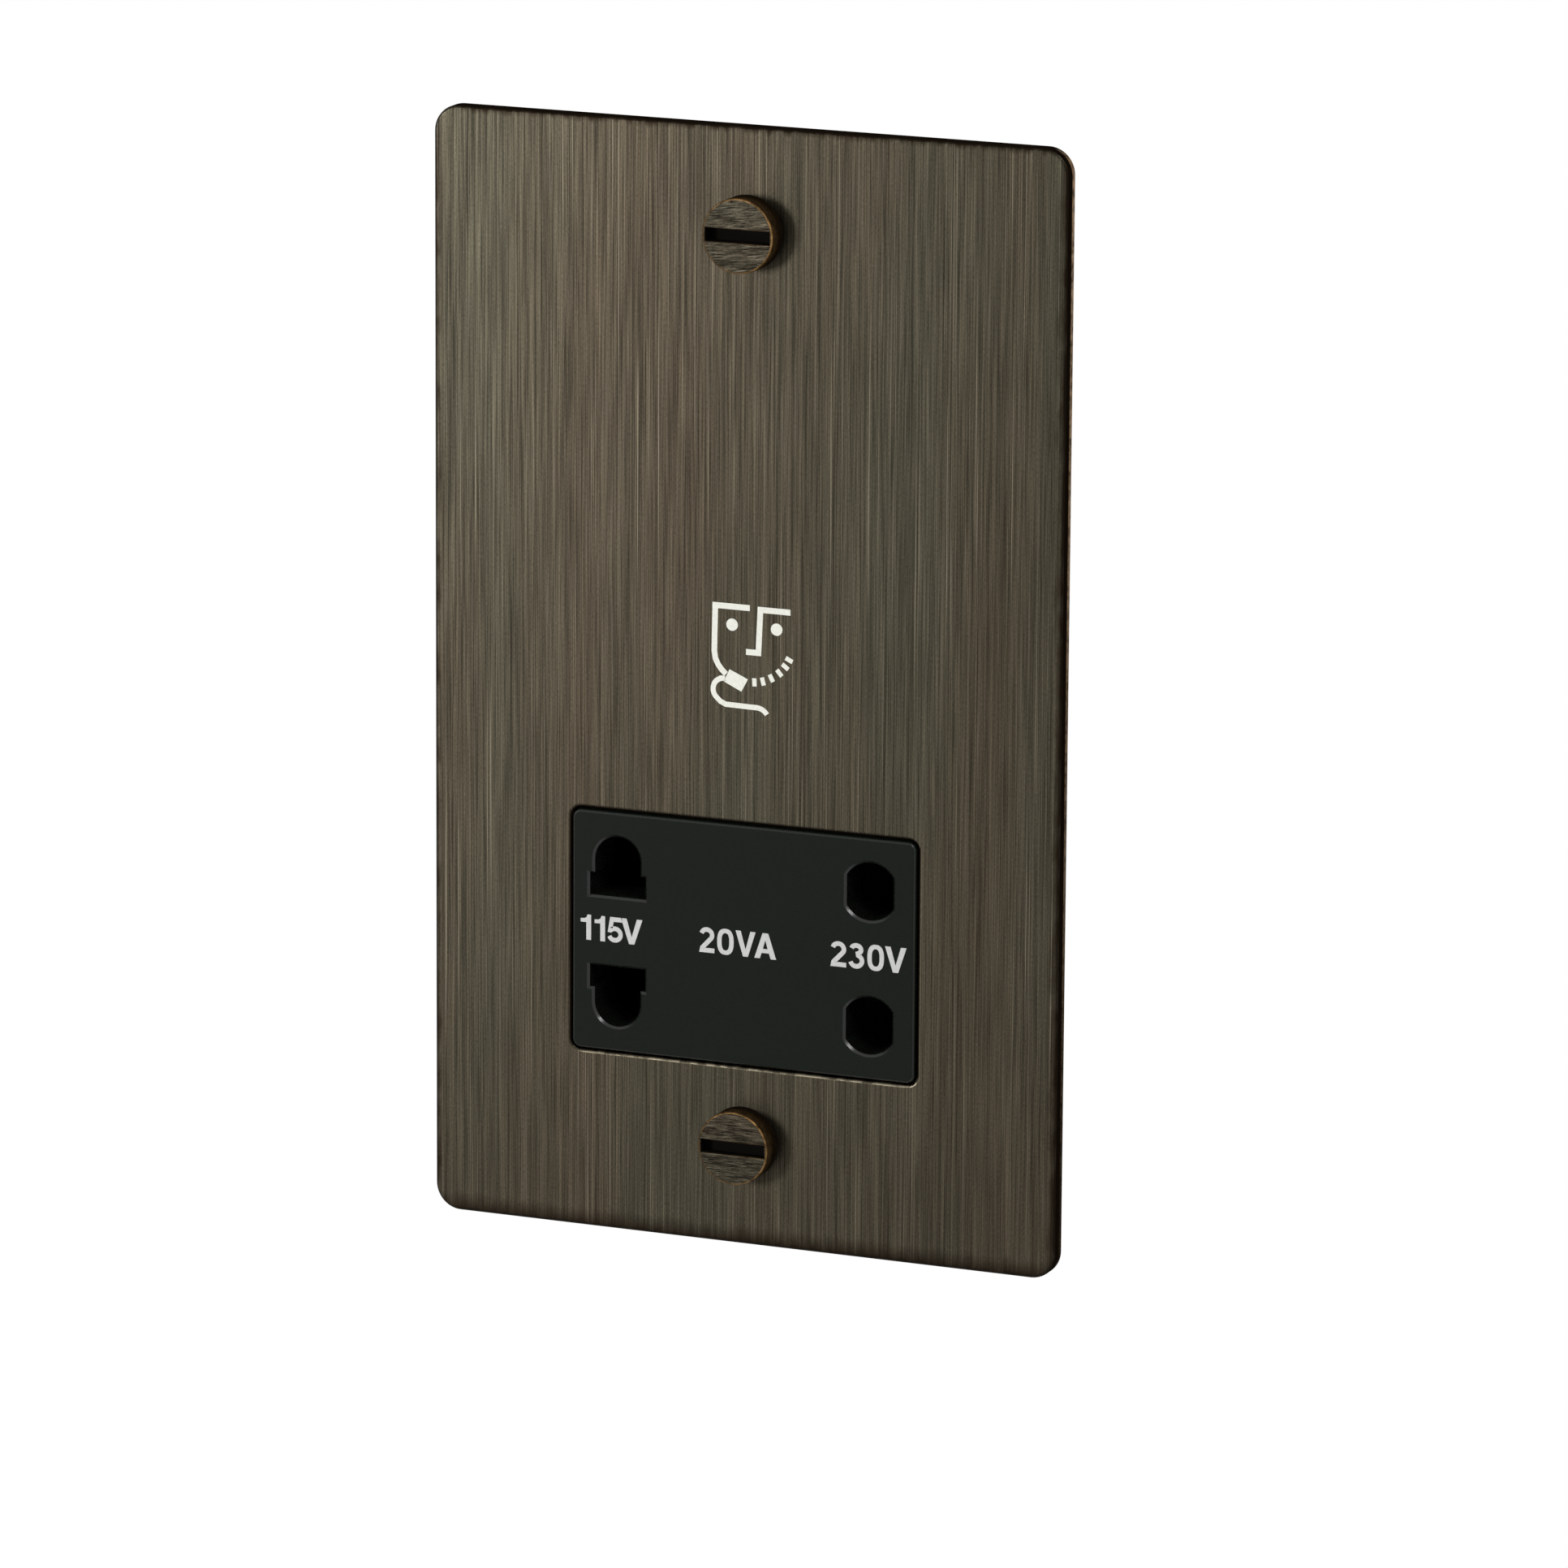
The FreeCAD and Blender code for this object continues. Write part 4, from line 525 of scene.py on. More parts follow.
def new_finish(name, **values):
    """A material, its node tree and its shader, with the shader's plain values set."""
    material = bpy.data.materials.new(name)
    material.use_nodes = True
    shader = material.node_tree.nodes["Principled BSDF"]
    for socket, value in values.items():
        shader.inputs[socket.replace("_", " ")].default_value = value
    return material, material.node_tree, shader


def wire(shader, **sources):
    """Links node outputs to the shader's sockets, named here with underscores for spaces."""
    for socket, source in sources.items():
        shader.id_data.links.new(source, shader.inputs[socket.replace("_", " ")])


def coordinates(tree, kind="Object"):
    return add_node(tree, "TexCoord").outputs[kind]


def worked(tree, operation, first, second):
    """The result of one arithmetic step."""
    return add_node(tree, "Math", {0: first, 1: second}, operation=operation).outputs[0]


def bumped(tree, height, strength, metres):
    """The normal of a surface with relief."""
    values = {"Height": height, "Strength": strength, "Distance": metres}
    return add_node(tree, "Bump", values).outputs[0]


def waves(tree, millimetres, axis, bend, detail=2.0):
    """Level bands across one axis. At a scale of 1 the texture's phase goes up by 20 in a metre."""
    values = {"Vector": coordinates(tree), "Scale": 1 / (millimetres * MM) / 20}
    values.update(Distortion=bend, Detail=detail)
    return add_node(tree, "TexWave", values, bands_direction=axis).outputs["Fac"]


def grain(tree, per_metre, detail, rough=0.5, bend=0.0, turn=(0, 0, 0), shift=(0, 0, 0)):
    """Noise on object coordinates, with its own scale along each axis."""
    moved = {"Vector": coordinates(tree), "Rotation": turn, "Location": shift}
    mapped = add_node(tree, "Mapping", moved).outputs[0]
    place = add_node(tree, "VectorMath", {0: mapped, 1: per_metre}, operation="MULTIPLY").outputs[0]
    values = {"Vector": place, "Scale": 1.0, "Detail": detail, "Roughness": rough, "Distortion": bend}
    return add_node(tree, "TexNoise", values).outputs["Fac"]


def ranged(tree, value, low, high, to_low, to_high):
    """A value stretched from one range to another and held inside it."""
    values = {"Value": value, "From Min": low, "From Max": high, "To Min": to_low, "To Max": to_high}
    return add_node(tree, "MapRange", values).outputs[0]


def mixed(tree, factor, first, second):
    """Two colours mixed by a factor."""
    values = {0: factor, 6: rgba(first), 7: rgba(second)}
    return add_node(tree, "Mix", values, data_type="RGBA").outputs[2]


def rgba(shade):
    """A shade with its alpha, or a link as it is."""
    return shade if isinstance(shade, bpy.types.NodeSocket) else (*shade[:3], 1)


# The ranges that most of a noise's values lie in, for crisp marks and for soft clouds.
MARKS = (0.3, 0.7)
CLOUDS = (0.35, 0.65)

# Layers of brush marks: how many a metre across and along, their detail and how strongly they lighten.
PLATE_MARKS = ((8200, 75, 2.0, 0.5), (4200, 24, 2.0, 0.26), (1300, 9, 1.0, 0.04), (7000, 2400, 1.0, 0.2))
SCREW_MARKS = ((9000, 700, 3.0, 0.95), (4500, 300, 2.0, 0.6), (900, 160, 1.0, 0.2), (8000, 4000, 1.0, 0.3))


def brushed_bronze(name, across, along, marks, turn=(0, 0, 0), bend=0.0, shift=(0, 0, 0), painted_light_level=1.0):
    """Brass, chemically bronzed and then brushed with a coarse belt.

    The belt leaves streaks 0.15 to 0.4 mm wide and tens of millimetres long. Between the streaks the patina
    wanders a little from warm brown to olive grey, and a few deeper lines show the lighter metal.
    """
    shades = settings().colours
    material, tree, shader = new_finish(name, Metallic=1.0, Anisotropic=0.45)

    def layer(wide, long, detail):
        per_metre = [across[axis] * wide + along[axis] * long for axis in range(3)]
        return grain(tree, per_metre, detail, 0.55, bend, turn, shift)

    cloud = ranged(tree, layer(70, 9, 1.0), *CLOUDS, 0, 1)
    # The bronze is scaled by a factor that paints light and shade onto copies of one material.
    shaded = mixed(tree, cloud, scaled(shades.bronze, painted_light_level), scaled(shades.olive, painted_light_level))
    for wide, long, detail, strength in marks:
        light = ranged(tree, layer(wide, long, detail), *MARKS, 1 - strength, 1 + strength)
        values = {0: shaded, "Scale": light}
        shaded = add_node(tree, "VectorMath", values, operation="SCALE").outputs[0]
    # Only the few lines at the top of a noise's range show the lighter metal.
    wide, long = marks[1][:2]
    bare = ranged(tree, layer(1.4 * wide, 0.7 * long, 1.0), 0.67, 0.75, 0, 0.4)
    fine = layer(*marks[0][:3])
    wire(
        shader, Base_Color=mixed(tree, bare, shaded, shades.scratch),
        Roughness=ranged(tree, fine, *MARKS, 0.46, 0.36), Normal=bumped(tree, fine, 0.25, 0.00003),
    )
    return material, tree, shader


def plate_bronze():
    """The plate's face also has a dark band along its edges, widest below and right."""
    material, tree, shader = brushed_bronze("brushed_bronze_plate", (1, 1, 0), (0, 0, 1), PLATE_MARKS)
    face = shader.inputs["Base Color"].links[0].from_socket
    sides = add_node(tree, "SeparateXYZ", {0: coordinates(tree)}).outputs
    waver_by = 0.35 * MM
    waver = ranged(tree, grain(tree, (900, 900, 260), 3.0), *MARKS, -waver_by, waver_by)
    half_x, half_z = PLATE_HIGH.x, PLATE_HIGH.z
    bands = (("X", -half_x, 0.9), ("X", half_x, 1.4), ("Z", -half_z, 2.6), ("Z", half_z, 0.9))
    darkest, rubbed_there = 0.12, 0.04  # the outer part of a band that stays dark, and how bare it is
    rubbed = 1.0
    for side, edge, band in bands:
        inward = -math.copysign(band * MM, edge)
        wavering = worked(tree, "ADD", sides[side], waver)
        reach = ranged(tree, wavering, edge + darkest * inward, edge + inward, rubbed_there, 1)
        rubbed = worked(tree, "MULTIPLY", reach, rubbed)
    tangent = add_node(tree, "Tangent", direction_type="UV_MAP", uv_map="UVMap").outputs[0]
    wire(shader, Base_Color=mixed(tree, rubbed, settings().colours.patina, face), Tangent=tangent)
    return material


def worn_bronze_painted_light(name, rough, wear_and_light):
    """Matt, nearly black patina, rubbed down to golden metal by handling, and painted light. Each band says
    where the golden metal shows, from 0 to 1: some follow wear, and some put painted highlights on the side
    towards the light and painted shade where shade falls.
    """
    shades = settings().colours
    material, tree, shader = new_finish(name, Specular_IOR_Level=0.0, Roughness=rough)
    sides = add_node(tree, "SeparateXYZ", {0: coordinates(tree)}).outputs
    bare = ranged(tree, grain(tree, even(1100), 3.0), 0.32, 0.62, 0.25, 1)
    for side, low, high, to_low, to_high in wear_and_light:
        part = ranged(tree, sides[side], low * MM, high * MM, to_low, to_high)
        bare = worked(tree, "MULTIPLY", part, bare)
    wire(shader, Base_Color=mixed(tree, bare, shades.patina, shades.copper), Metallic=bare)
    return material


def screw_bronze(name, turn, bend, painted_light_level):
    """The screw heads are faced in a lathe and rubbed by hand, so their grain runs across and wavers."""
    return brushed_bronze(
        name, (0, 1, 1), (1, 0, 0), SCREW_MARKS, (0, turn, 0), bend, shift=(0.003, 0, 0.001), painted_light_level=painted_light_level
    )[0]


def patterned(name, first, second, per_metre, rough, bump=0.1, depth=0.00002, span=(0.4, 0.6), **values):
    """Two shades of one material mixed by its grain, with roughness and relief from the same grain."""
    material, tree, shader = new_finish(name, **values)
    noise = grain(tree, per_metre, 3.0)
    wire(
        shader, Base_Color=mixed(tree, ranged(tree, noise, *span, 0, 1), first, second),
        Roughness=ranged(tree, noise, *span, *rough), Normal=bumped(tree, noise, bump, depth),
    )
    return material


def scaled(shade, factor):
    return tuple(min(1.0, channel * factor) for channel in shade[:3])


def even(scale):
    return (scale, scale, scale)


def moulded(name, shade, rough, grit, spread, bump, level):
    """Injection moulded plastic: an even shade, with the fine spark-eroded grit of the mould."""
    return patterned(
        name, scaled(shade, 1 - spread), scaled(shade, 1 + spread), even(1 / (grit * MM)),
        (rough - 0.05, rough + 0.07), bump, 0.00001, Specular_IOR_Level=level,
    )


LEADS = {"brown": "#5B3320", "blue": "#1F4E9E", "black": "#161616", "white": "#DDDDD8", "grey": "#7A7C7E"}


def leads_sleeve(name, code):
    """Extruded PVC sleeve: glossy, with faint lengthwise flow lines."""
    shade = linear(code)
    return patterned(
        name, scaled(shade, 0.9), scaled(shade, 1.08), (900, 200, 200), (0.3, 0.42), 0.05,
        Specular_IOR_Level=0.45,
    )


def earth_sleeve():
    """Two-coloured PVC sleeve: green on one side and yellow on the other, by the way each side faces."""
    material, tree, shader = new_finish("extruded_pvc_earth", Roughness=0.35)
    sides = add_node(tree, "SeparateXYZ", {0: coordinates(tree, "Normal")}).outputs
    band = ranged(tree, sides["X"], -0.35, -0.25, 0, 1)
    wire(shader, Base_Color=mixed(tree, band, linear("#E6C81E"), linear("#2E7D32")))
    return material


def laminated_iron():
    """Silicon steel sheets, stacked along Y and dipped in varnish."""
    material, tree, shader = new_finish("varnished_laminations", Metallic=0.85, Roughness=0.42)
    sheets = waves(tree, 0.5, "Y", 0.3, 1.0)
    cloud = ranged(tree, grain(tree, even(180), 3.0), *CLOUDS, 0, 1)
    varnish = mixed(tree, cloud, linear("#4A4B4E"), linear("#5C544A"))
    dark = mixed(tree, ranged(tree, sheets, 0.02, 0.25, 1, 0), varnish, linear("#1E1D1C"))
    wire(shader, Base_Color=dark, Normal=bumped(tree, sheets, 0.3, 0.00005))
    return material


def wound_copper():
    """Enamelled copper wire, wound in layers: fine level ridges round the spool, with painted shade in the
    grooves between the turns and painted highlights on their crests.
    """
    material, tree, shader = new_finish("enamelled_copper_wire", Metallic=0.9, Roughness=0.3)
    turns = waves(tree, 0.4, "Z", 0.6)
    shade = mixed(tree, turns, linear("#6E2F14"), linear("#C26A3A"))
    wire(shader, Base_Color=shade, Normal=bumped(tree, turns, 0.6, 0.0001))
    return material


def printing_ink(name, shade, thin):
    values = (name, scaled(shade, thin), shade, even(2500), (0.55, 0.65), 0.05)
    return patterned(*values, Specular_IOR_Level=0.3)


def metal(name, dark, light, per_metre, rough):
    return patterned(name, linear(dark), linear(light), per_metre, rough, Metallic=1.0)


def make_finishes():
    """Every finish, by the record's material slot."""
    shades = settings().colours
    FINISHES.update(
        bronze_plate=plate_bronze(),
        # Painted shade and light: the upper screw's bronze is darkened to 0.66, the lower one's lightened to
        # 1.05.
        bronze_screw=screw_bronze("rubbed_bronze_upper", 0.12, 0.9, 0.66),
        lower_screw=screw_bronze("rubbed_bronze_lower", 0.0, 0.25, 1.05),
        # Patina stays on the plate's sides, where no brush reaches. Painted highlight: a golden line along
        # the rear of the right side, fading towards the bottom.
        patina=worn_bronze_painted_light("blackened_cut_edge", 0.45, (
            ("Y", -1.0, -0.75, 0, 1), ("X", HALF_WIDE - 2.4, HALF_WIDE - 0.8, 0, 1), ("Z", -62, 50, 0.08, 1),
        )),
        # The bronzing bath darkens the rear too, in soft blotches, and no belt touches it.
        rear_bronze=patterned(
            "bronzed_unbrushed_brass", scaled(shades.bronze, 0.5), scaled(shades.bronze, 1.3), even(160),
            (0.42, 0.58), span=CLOUDS, Metallic=1.0,
        ),
        # Turned thread, left as brass where the bath doesn't reach it.
        turned_thread=metal("turned_brass_thread", "#7C6234", "#A98A4C", (300, 1800, 300), (0.28, 0.4)),
        # Painted shade and highlight: the turned sides get less golden metal next to the plate and more on
        # the right.
        turned_side=worn_bronze_painted_light("blackened_turned_side", 0.5, (
            ("Y", -3.0, -5.1, 0.03, 0.4), ("X", -3, 5, 0.25, 1),
        )),
        # Painted shadow: the screws' slots are made near black and matt, for the shade inside them.
        slot_black=patterned(
            "blackened_recess", linear("#050403"), linear("#0D0A07"), even(800), (0.7, 0.85),
            Metallic=0.2, Specular_IOR_Level=0.05,
        ),
        # Handling wears the rims down to bare golden metal. Painted highlight: more of it on the right.
        worn_rim=worn_bronze_painted_light("worn_turned_rim", 0.35, (("X", -6, 4, 0.25, 1),)),
        # Painted highlight on the window's up-facing edge.
        window_edge=metal("burnished_window_edge", "#3F3A30", "#6E6758", even(700), (0.25, 0.35)),
        # The mould's polished core pins and rounded rim leave the holes and edges glossier than the face.
        pin_hole=moulded("moulded_urea_black_pin_hole", shades.black, 0.24, 0.14, 0.1, 0.05, 0.4),
        glossy_rim=moulded("moulded_urea_black_rim", shades.black, 0.3, 0.14, 0.1, 0.05, 0.25),
        black_moulding=moulded("moulded_urea_black", shades.black, 0.48, 0.14, 0.16, 0.1, 0.06),
        # Painted shade: the shutter and the contact carrier are near black, for the shade behind the pin
        # holes.
        shutter_moulding=moulded("moulded_acetal_black", shades.shutter, 0.5, 0.2, 0.1, 0.05, 0.02),
        grey_moulding=moulded("moulded_nylon_grey", shades.grey, 0.45, 0.25, 0.05, 0.12, 0.4),
        housing_moulding=moulded("moulded_abs_textured", shades.housing, 0.55, 0.35, 0.2, 0.45, 0.35),
        nylon_spool=moulded("moulded_nylon_natural", linear("#DAD3BE"), 0.4, 0.3, 0.05, 0.08, 0.4),
        fuse_case=moulded("moulded_phenolic_black", linear("#2A2A2B"), 0.4, 0.2, 0.15, 0.1, 0.4),
        # Drawn and hardened wire keeps faint die lines.
        spring_steel=metal("drawn_spring_steel", "#8E8F91", "#B9BABC", (1500, 300, 300), (0.22, 0.32)),
        # Stamped strip, rolled lengthwise.
        contact_brass=metal("stamped_brass", "#B08B3E", "#D9B765", (120, 1400, 1400), (0.24, 0.36)),
        # Zinc plate: bright with a faint blue cast and soft spangle.
        zinc_steel=metal("zinc_plated_steel", "#9CA1A8", "#C9CDD2", even(900), (0.26, 0.4)),
        tinned_brass=metal("tinned_brass", "#A9A9A4", "#CFCFC9", even(600), (0.28, 0.44)),
        core_iron=laminated_iron(),
        copper_wire=wound_copper(),
        # Polyester tape, wound under tension: smooth, slightly translucent yellow.
        yellow_tape=patterned(
            "polyester_tape", linear("#C9A227"), linear("#E3C44A"), (300, 300, 60), (0.22, 0.34), 0.15,
            Specular_IOR_Level=0.5,
        ),
        **{name + "_lead": leads_sleeve("extruded_pvc_" + name, code) for name, code in LEADS.items()},
        earth_lead=earth_sleeve(),
        # Pad-printed ink: matt, a little uneven at its edges.
        ink=printing_ink("pad_printed_ink", shades.ink, 0.93),
        number_ink=printing_ink("pad_printed_number_ink", shades.number_ink, 0.92),
    )


class SOCKET_OT_finishes(bpy.types.Operator):
    """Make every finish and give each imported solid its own"""

    bl_idname = "socket.finishes"
    bl_label = "Finishes"

    def execute(self, context):
        make_finishes()
        for part in frame["record"]["subparts"]:
            mesh = frame["nodes"][part["node"]].data
            mesh.materials.clear()
            mesh.materials.append(FINISHES[part["material_slot"]])
        return {"FINISHED"}


class SOCKET_OT_face_plate(bpy.types.Operator):
    """Model the bronze plate with its rear relief, window and screw holes"""

    bl_idname = "socket.face_plate"
    bl_label = "Face plate"

    def execute(self, context):
        size = settings().plate
        half_x, half_z = PLATE_HIGH.x, PLATE_HIGH.z
        plate = rounded_block("bronze_plate", size.corner, 14, half_x, half_z, PLATE_FRONT, 0)
        shape(plate, "FACE", facing(0.9), bpy.ops.mesh.inset, thickness=size.rim, depth=0)
        inner = lambda face: face.calc_area() > 2 * half_x * half_z
        shape(
            plate, "FACE", every(facing(0.9), inner), bpy.ops.mesh.extrude_region_move,
            TRANSFORM_OT_translate={"value": (0, -size.relief, 0)},
        )
        bevel(plate, sharp_at(PLATE_FRONT), size.edge, 4)
        wide, tall = size.window_width / 2, size.window_height / 2
        carve(plate, rounded_block(
            "window", size.window_corner, 10, wide, tall, PLATE_FRONT - MM, MM, 0, size.window_z
        ))
        for side in (-1, 1):
            carve(plate, rod("hole", size.screw_hole, PLATE_FRONT - MM, MM, 0, side * size.screw_z, 48))
        rim = within(wide + NEAR, tall + NEAR, size.window_z)
        bevel(plate, every(sharp_at(PLATE_FRONT), rim), size.window_edge, 6)
        dress(plate, "bronze_plate", ("face_plate",), degrees=30)
        uv = plate.data.uv_layers.new(name="UVMap")
        for loop in plate.data.loops:
            place = plate.data.vertices[loop.vertex_index].co
            uv.data[loop.index].uv = (place.x * UV_SCALE + 0.5, place.z * UV_SCALE + 0.5)
        outer = within(half_x - 2 * MM, half_z - 2 * MM, 0)
        # The outer sides and edge rounding get the patina, with its painted highlight along the right side.
        coat(plate, "patina", every(facing(-0.75), lambda face: not outer(face)))
        coat(plate, "rear_bronze", facing(0.9))
        window = within(wide + size.window_edge + NEAR, tall + size.window_edge + NEAR, size.window_z)
        coat(plate, "patina", every(window, facing(-0.85, 0.5)))
        # Painted highlight: the window's lower edge, which faces up and catches the light, gets a lighter
        # metal.
        upward = lambda face: face.normal.z - 0.3 * face.normal.x > 0.3
        coat(plate, "window_edge", every(window, facing(-SQUARE, -0.15), upward))
        return {"FINISHED"}


class SOCKET_OT_fixing_screws(bpy.types.Operator):
    """Model the two slotted fixing screws with their threads"""

    bl_idname = "socket.fixing_screws"
    bl_label = "Fixing screws"

    def execute(self, context):
        size = settings().screw
        front = PLATE_FRONT - size.height
        screw = rod("fixing_screw_upper", size.head, front, PLATE_FRONT, sides=96)
        bevel(screw, sharp_at(front), size.rim, 3)
        long, wide = size.slot_length / 2, size.slot_width / 2
        carve(screw, block("slot", long, wide, front - MM, front + size.slot_depth))
        bevel(screw, every(sharp_at(front), within(2 * long, 2 * wide, 0)), size.slot_edge, 2)
        carve(screw, rod("neck", size.neck, PLATE_FRONT - MM / 2, size.start + MM, sides=32), "UNION")
        carve(screw, thread("thread", size.crest, size.pitch, size.start, size.end), "UNION")
        apart = settings().plate.screw_z
        lower = copied(screw, "fixing_screw_lower", (0, 0, -apart))
        upper = copied(screw, "fixing_screw_upper", (0, 0, apart))
        bpy.data.objects.remove(screw)
        upper.name = "fixing_screw_upper"
        for piece, finish, middle in ((upper, "bronze_screw", apart), (lower, "lower_screw", -apart)):
            dress(piece, "bronze_screw", ("fixing_screws",), finish=finish, degrees=30)

            def out(face):
                centre = face.calc_center_median()
                return math.hypot(centre.x, centre.z - middle)

            def deep(face):
                return face.calc_center_median().y - front

            inside = size.head - size.rim
            # Patina on the heads' sides, with painted shade next to the plate and a painted highlight on the
            # right.
            coat(piece, "turned_side", facing(-0.95))
            rim = lambda face: out(face) > inside and deep(face) < size.rim
            slot = lambda face: out(face) < inside and size.slot_edge < deep(face) < size.slot_depth + NEAR
            # Bare golden metal on the rims, with a painted highlight on the right.
            coat(piece, "worn_rim", every(rim, facing(high=-0.2)))
            coat(piece, "turned_thread", lambda face: face.calc_center_median().y > NEAR)
            # Painted shadow inside the slots.
            coat(piece, "slot_black", slot)
        return {"FINISHED"}


class SOCKET_OT_insert(bpy.types.Operator):
    """Model the black front moulding with its flange and four pin holes"""

    bl_idname = "socket.insert"
    bl_label = "Front moulding"

    def execute(self, context):
        size, plate = settings().insert, settings().plate
        wide = plate.window_width / 2 - size.gap
        tall = plate.window_height / 2 - size.gap
        z = plate.window_z
        corner = plate.window_corner - size.gap
        insert = rounded_block("front_moulding", corner, 8, wide, tall, INSERT_FRONT, INSERT_HIGH.y, 0, z)
        bevel(insert, sharp_at(INSERT_FRONT), size.edge, 5)
        lap = size.flange_lap + size.gap
        carve(insert, rounded_block(
            "flange", plate.window_corner + size.flange_lap, 10, wide + lap, tall + lap,
            size.flange_front, size.flange_rear, 0, z,
        ), "UNION")
        near, far = INSERT_FRONT - MM, INSERT_HIGH.y + MM
        for side in (-1, 1):
            height = z + side * size.round_z
            hole = rod("hole", size.round_radius, near, far, size.round_x, height, 72)
            carve(hole, block(
                "flats", size.round_half, size.round_radius + MM, near - MM, far + MM, size.round_x, height
            ), "INTERSECT")
            carve(insert, hole)
            crown = size.flat_end - size.flat_dome
            hole = rod("dome", size.flat_dome, near, far, size.flat_x, z + side * crown, 64)
            for name, half, inner, outer, past in (
                ("waist", size.flat_dome, size.flat_inner + MM, crown, 0),
                ("blade", size.flat_half, size.flat_inner, size.flat_shoulder, MM),
            ):
                half_z, middle = (outer - inner) / 2, z + side * (inner + outer) / 2
                carve(hole, block(name, half, half_z, near - past, far + past, size.flat_x, middle), "UNION")
            carve(insert, hole)
        bevel(insert, sharp_at(INSERT_FRONT), size.chamfer, 1)
        dress(insert, "black_moulding", ("socket_insert",), degrees=30)
        coat(insert, "glossy_rim", facing(-SQUARE, SQUARE))
        holes = within(wide - size.edge - NEAR, tall - size.edge - NEAR, z)
        coat(insert, "pin_hole", every(holes, facing(-SQUARE, SQUARE)))
        return {"FINISHED"}


# Print

def arc(x, y, wide, tall, start, end, steps=18):
    """Points along part of an ellipse, from one angle to another in degrees."""
    angles = [math.radians(start + (end - start) * step / steps) for step in range(steps + 1)]
    return [(x + wide * math.cos(angle), y + tall * math.sin(angle)) for angle in angles]


def ribbon(points, width):
    """Outline of a stroke of even width along open points, with mitred turns and square ends."""
    points = [Vector(point) for point in points]
    runs = [(after - before).normalized() for before, after in zip(points, points[1:])]
    sharpest = 0.35
    offsets = []
    for come, go in zip([runs[0], *runs], [*runs, runs[-1]]):
        middle = (come + go).normalized()
        offsets.append(Vector((-middle.y, middle.x)) * (width / 2 / max(sharpest, middle.dot(go))))
    left = [point + offset for point, offset in zip(points, offsets)]
    right = [point - offset for point, offset in zip(points, offsets)]
    return left + right[::-1]


def superellipse(x, y, wide, tall):
    """Points round an oval that is fuller than an ellipse, whose power is 2."""
    power, steps = 2.5, 56

    def fuller(part):
        return math.copysign(abs(part) ** (2 / power), part)

    angles = [TURN * step / steps for step in range(steps)]
    return [(x + wide * fuller(math.cos(angle)), y + tall * fuller(math.sin(angle))) for angle in angles]


def characters(stroke):
    """Outlines of the numbers and letters in millimetres, each with its width."""
    tall, half = 3.4, stroke / 2
    one = [
        (0.81, 0), (1.49, 0), (1.49, tall), (0.98, tall), (0.84, 3.05), (0.55, 2.88),
        (0, 2.84), (0, 2.36), (0.81, 2.36),
    ]
    two = arc(1.1, 2.36, 0.77, 0.73, 165, -30) + [(0.46, 0.62), (0.40, half), (2.2, half)]
    three = arc(1.07, 2.54, 0.68, 0.55, 165, -70) + arc(1.07, 1.06, 0.82, 0.75, 70, -165)
    five = [(2.2, tall - half), (0.72, tall - half), (0.47, 1.62)] + arc(1.15, 1.09, 0.84, 0.78, 138, -160)
    wide = 1.165
    return {
        "0": (2.33, [
            superellipse(wide, tall / 2, wide, tall / 2 + 0.04),
            superellipse(wide, tall / 2, wide - stroke, tall / 2 - stroke + 0.08),
        ]),
        "1": (1.49, [one]),
        "2": (2.2, [ribbon(two, stroke)]),
        "3": (2.2, [ribbon(three, stroke)]),
        "5": (2.4, [ribbon(five, stroke)]),
        "V": (3.0, [[(0, tall), (0.78, tall), (1.5, 0.95), (2.22, tall), (3, tall), (1.87, 0), (1.13, 0)]]),
        "A": (3.08, [
            [(0, 0), (1.14, tall), (1.94, tall), (3.08, 0), (2.3, 0), (2.06, 0.74), (1.02, 0.74), (0.78, 0)],
            [(1.21, 1.3), (1.87, 1.3), (1.54, 2.5)],
        ]),
    }


def solid(curve):
    """A piece made from a curve, as a mesh with the curve's name."""
    lone(placed(curve.name, curve))
    bpy.ops.object.convert(target="MESH")
    return bpy.context.object


def printed(name, loops, surface, finish, slot):
    """Flat outlines as a thin print on a surface that faces forwards, sunk into it by a hair."""
    proud, sunk = settings().print.proud, 0.002 * MM
    curve = bpy.data.curves.new(name, "CURVE")
    curve.dimensions = "2D"
    curve.fill_mode = "BOTH"
    curve.extrude = proud / 2
    for loop in loops:
        spline = curve.splines.new("POLY")
        spline.points.add(len(loop) - 1)
        for point, (across, up) in zip(spline.points, loop):
            point.co = (across * MM, up * MM, 0, 1)
        spline.use_cyclic_u = True
    obj = solid(curve)
    obj.rotation_euler = (QUARTER, 0, 0)
    obj.location = (0, surface - proud / 2 + sunk, 0)
    return dress(settled(obj), slot, finish=finish, degrees=20)


class SOCKET_OT_numbers(bpy.types.Operator):
    """Print the voltages and the rating on the front moulding"""

    bl_idname = "socket.numbers"
    bl_label = "Numbers"

    # Each character with its left and right edge, in millimetres from the middle.
    groups = {
        "numbers_115": [
            ("1", -22.95, -21.46), ("1", -20.96, -19.47), ("5", -19.2, -16.85), ("V", -17.2, -14.15),
        ],
        "numbers_20": [("2", -6.1, -3.94), ("0", -3.55, -1.22), ("V", -0.96, 1.86), ("A", 1.7, 4.78)],
        "numbers_230": [("2", 12.37, 14.6), ("3", 14.93, 17.12), ("0", 17.55, 19.87), ("V", 20.0, 22.99)],
    }

    def execute(self, context):
        size = settings().print
        outlines = characters(size.stroke / MM)
        foot = size.baseline / MM
        for name, line in self.groups.items():
            loops = []
            for letter, left, right in line:
                width, shapes = outlines[letter]
                stretch = (right - left) / width
                loops += [[(left + x * stretch, foot + y) for x, y in loop] for loop in shapes]
            printed(name, loops, INSERT_FRONT, "number_ink", "black_moulding")
        return {"FINISHED"}


